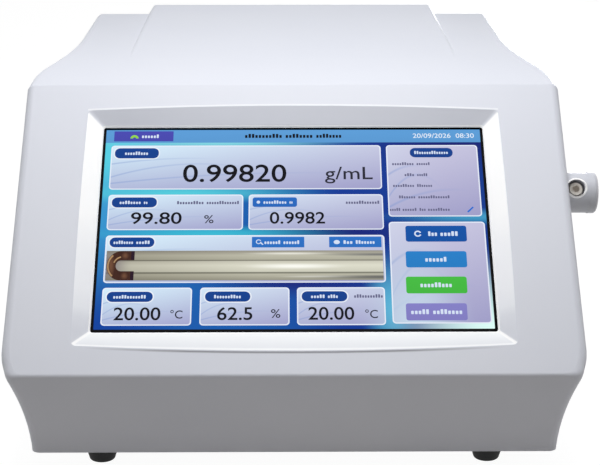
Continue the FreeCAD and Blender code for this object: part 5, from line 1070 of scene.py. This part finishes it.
def build_panels():
    """The backdrop, the title bar, the panels and their tags."""
    panels = PANEL_BOXES.values()
    tags = RIMMED_TAG_BOXES.values()
    inner_panels = [inset(box, RIM_W) for box in panels]
    inner_tags = [inset(box, RIM_W) for box in tags]
    title_blue = lit("title_blue", rgb(92, 156, 214))
    rim_white = lit("rim_white", rgb(232, 238, 250))
    menu_blue = lit("menu_blue", rgb(74, 74, 176))
    tag_rim_white = lit("tag_rim_white", rgb(236, 242, 252))
    navy = lit("tag_navy", rgb(22, 66, 142))
    tag_blue = lit("tag_blue", rgb(40, 104, 190))
    layer("screen_backdrop", cards([BACKDROP_BOX], STRIP_R), BACKDROP_LEVEL, backdrop_finish())
    layer("screen_title_bar", cards([TITLE_BOX], BAR_R), RIM_LEVEL, title_blue)
    layer("screen_panel_rims", cards(panels, PANEL_RIM_R), RIM_LEVEL, rim_white)
    layer("screen_panels", cards(inner_panels, PANEL_R), PANEL_LEVEL, panel_finish())
    layer("screen_menu_button", cards([MENU_BOX], STRIP_R), PANEL_LEVEL, menu_blue)
    layer("screen_tag_rims", cards(tags, TAG_RIM_R), PRINT_LEVEL, tag_rim_white)
    layer("screen_tags", cards(inner_tags + [SAMPLE_TAG_BOX], TAG_R), TAG_LEVEL, navy)
    layer("screen_second_tag", cards([SECOND_TAG_BOX], BUTTON_R), TAG_LEVEL, tag_blue)


def build_buttons():
    """The buttons in the cell panel and the four large ones at the right."""
    cell_blue = lit("cell_button_blue", rgb(44, 112, 196))
    layer("screen_cell_buttons", cards(CELL_BUTTON_BOXES, STRIP_R), TAG_LEVEL, cell_blue)
    tints = {
        "pump": rgb(20, 82, 164),
        "setup": rgb(40, 126, 198),
        "start": rgb(70, 186, 66),
        "print": rgb(132, 127, 196),
    }
    for name, box in BUTTON_BOXES.items():
        finish = lit(name + "_button", tints[name])
        layer("screen_" + name + "_button", cards([box], BUTTON_R), TAG_LEVEL, finish)


def build_cell_view():
    """The strip that shows the measuring cell, with the bend of its tube at the left."""
    bend = [band(*BEND_BAND, narrow=BEND_NARROW_SHARE)]
    lights = [band(*arc, narrow=BEND_NARROW_SHARE) for arc in BEND_LIGHT_BANDS]
    layer("screen_cell_view", cards([CELL_VIEW_BOX], STRIP_R), TAG_LEVEL, cell_view_finish())
    layer("screen_cell_bend", bend + cards(BEND_LEG_BOXES, BAR_R), LABEL_LEVEL, bend_finish())
    layer("screen_cell_bend_light", lights, LIGHT_LEVEL, lit("bend_light", rgb(176, 140, 100)))
    dark = lit("bend_dark", rgb(44, 26, 40))
    layer("screen_cell_bend_ends", cards(BEND_END_BOXES, BAR_R), LIGHT_LEVEL, dark)


def build_text():
    """Figures, units, the clock, word blocks and icons."""
    dark = lit("ink", rgb(20, 20, 26))
    figures("screen_large_figures", LARGE_FIGURES, PRINT_LEVEL, dark, weight=0.008)
    figures("screen_figures", SMALL_FIGURES, PRINT_LEVEL, dark)
    figures("screen_units", UNITS, PRINT_LEVEL, lit("unit_ink", rgb(44, 44, 56)), weight=0.004)
    figures("screen_clock", CLOCK, PANEL_LEVEL, lit("clock_white", rgb(226, 238, 252)))
    layer("screen_title_words", words(TITLE_WORDS), PANEL_LEVEL, dark)
    layer("screen_words", words(PANEL_WORDS), PRINT_LEVEL, lit("word_grey", rgb(104, 104, 136)))
    pale = lit("word_white", rgb(214, 226, 246))
    layer("screen_tag_words", words(TAG_WORDS), LABEL_LEVEL, pale)
    layer("screen_menu_word", words(MENU_WORDS), PRINT_LEVEL, pale)
    layer("screen_menu_icon", [band(*MENU_BAND)], PRINT_LEVEL, lit("icon_green", rgb(150, 214, 70)))
    lens = [band(*LENS_BAND), LENS_HANDLE]
    layer("screen_icons", [disc(*TAG_DISC), disc(*CELL_DISC), *lens, band(*PUMP_BAND)], LABEL_LEVEL, pale)
    layer("screen_pencil", [PENCIL], PRINT_LEVEL, lit("pencil_blue", rgb(40, 110, 210)))


def rocker_marks():
    """The bar and ring of a mains switch, printed on the two halves of the rocker."""
    pale = moulded("mark_white", rgb(232, 232, 228), rough=0.5)
    faces = [face for face in NODES["rocker"].data.polygons if face.normal.y > MARK_FACING]
    middle = middle_of(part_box("rocker"))
    bar = rounded((-MARK_BAR_W / 2, -MARK_R, MARK_BAR_W / 2, MARK_R), MARK_BAR_W / 2)
    ring = band(0, 0, MARK_R, MARK_R - MARK_BAR_W, 0, 360, MARK_STEPS)
    for name, upper, outline in (("rocker_bar", True, bar), ("rocker_ring", False, ring)):
        own = [face for face in faces if (face.center.z > middle.z) == upper]
        face = max(own, key=lambda candidate: candidate.area)
        outward = face.normal.copy()
        rise = ACROSS.cross(outward).normalized()
        spots = [face.center + ACROSS * u + rise * v for u, v in outline]
        form = bmesh.new()
        fronts = [form.verts.new(spot + outward * MARK_T) for spot in spots]
        backs = [form.verts.new(spot - outward * MARK_T) for spot in spots]
        plate(form, backs, fronts)
        mark = place_form(form, name, pale)
        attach(mark, "rocker")


# Studio


def place_camera():
    scene = bpy.context.scene
    camera = bpy.data.cameras.new("camera")
    camera.lens = LENS_MM
    camera.clip_end = CAMERA_SIGHT
    holder = bpy.data.objects.new("camera", camera)
    holder.location = CAMERA_PLACE
    holder.rotation_euler = (math.radians(90 - CAMERA_PITCH_DEG), 0, math.radians(CAMERA_TURN_DEG))
    scene.collection.objects.link(holder)
    scene.camera = holder
    scene.view_settings.view_transform = "Standard"


def soft_box(name, place, aim, size, power, tint=(1, 1, 1)):
    """A square area lamp that the camera doesn't see."""
    lamp = bpy.data.lights.new(name, "AREA")
    lamp.color = tint
    lamp.shape = "SQUARE"
    lamp.size = size
    lamp.energy = power
    holder = bpy.data.objects.new(name, lamp)
    holder.visible_camera = False
    holder.location = place
    holder.rotation_euler = (Vector(aim) - Vector(place)).to_track_quat("-Z", "Y").to_euler()
    bpy.context.scene.collection.objects.link(holder)


def place_lamps():
    soft_box("key", KEY_PLACE, KEY_AIM, KEY_SIZE, KEY_POWER)
    soft_box("rear", REAR_PLACE, REAR_AIM, REAR_SIZE, REAR_POWER, REAR_TINT)
    soft_box("back", BACK_PLACE, BACK_AIM, BACK_SIZE, BACK_POWER)
    for index, place in enumerate(SIDE_PLACES):
        soft_box("side_" + str(index), place, SIDE_AIM, SIDE_SIZE, SIDE_POWER)


def seen_ray(nodes):
    """One for a ray from the camera, or one that it sends on by a mirror or through glass."""
    path = nodes.node("LightPath").outputs
    first = nodes.maths("MAXIMUM", path["Is Camera Ray"], path["Is Glossy Ray"])
    return nodes.maths("MAXIMUM", first, path["Is Transmission Ray"])


def light_world():
    """A plain dim light from all sides, which the camera sees as white."""
    world = bpy.data.worlds.new("studio")
    bpy.context.scene.world = world
    nodes = Nodes(world)
    strength = nodes.node("MapRange", {"Value": seen_ray(nodes), "To Min": AMBIENT, "To Max": 1.0})
    sky = nodes.node("Background", {"Color": (1, 1, 1, 1), "Strength": strength.outputs[0]})
    nodes.node("OutputWorld", {"Surface": sky.outputs[0]})


def lay_floor():
    """A pale floor that keeps a faint shadow and throws back a warmer, weaker light."""
    half = FLOOR_SIDE / 2
    corners = [(-half, -half, 0), (half, -half, 0), (half, half, 0), (-half, half, 0)]
    sheet = bpy.data.meshes.new("floor")
    sheet.from_pydata(corners, [], [(0, 1, 2, 3)])
    floor = bpy.data.objects.new("floor", sheet)
    bpy.context.scene.collection.objects.link(floor)
    paint = bpy.data.materials.new("studio_floor")
    nodes = Nodes(paint)
    shadowed = nodes.node("BsdfDiffuse", {"Color": (FLOOR_SEEN, FLOOR_SEEN, FLOOR_SEEN, 1)})
    glowing = nodes.node("Emission", {"Strength": FLOOR_GLOW})
    seen = nodes.node("AddShader", {0: shadowed.outputs[0], 1: glowing.outputs[0]})
    bounce = nodes.node("BsdfDiffuse", {"Color": (*FLOOR_BOUNCE, 1)})
    choice = nodes.node("MixShader", {0: seen_ray(nodes), 1: bounce.outputs[0], 2: seen.outputs[0]})
    nodes.node("OutputMaterial", {"Surface": choice.outputs[0]})
    sheet.materials.append(paint)


place_camera()
place_lamps()
light_world()
lay_floor()
dress_nodes()
build_panels()
build_buttons()
build_cell_view()
build_text()
rocker_marks()
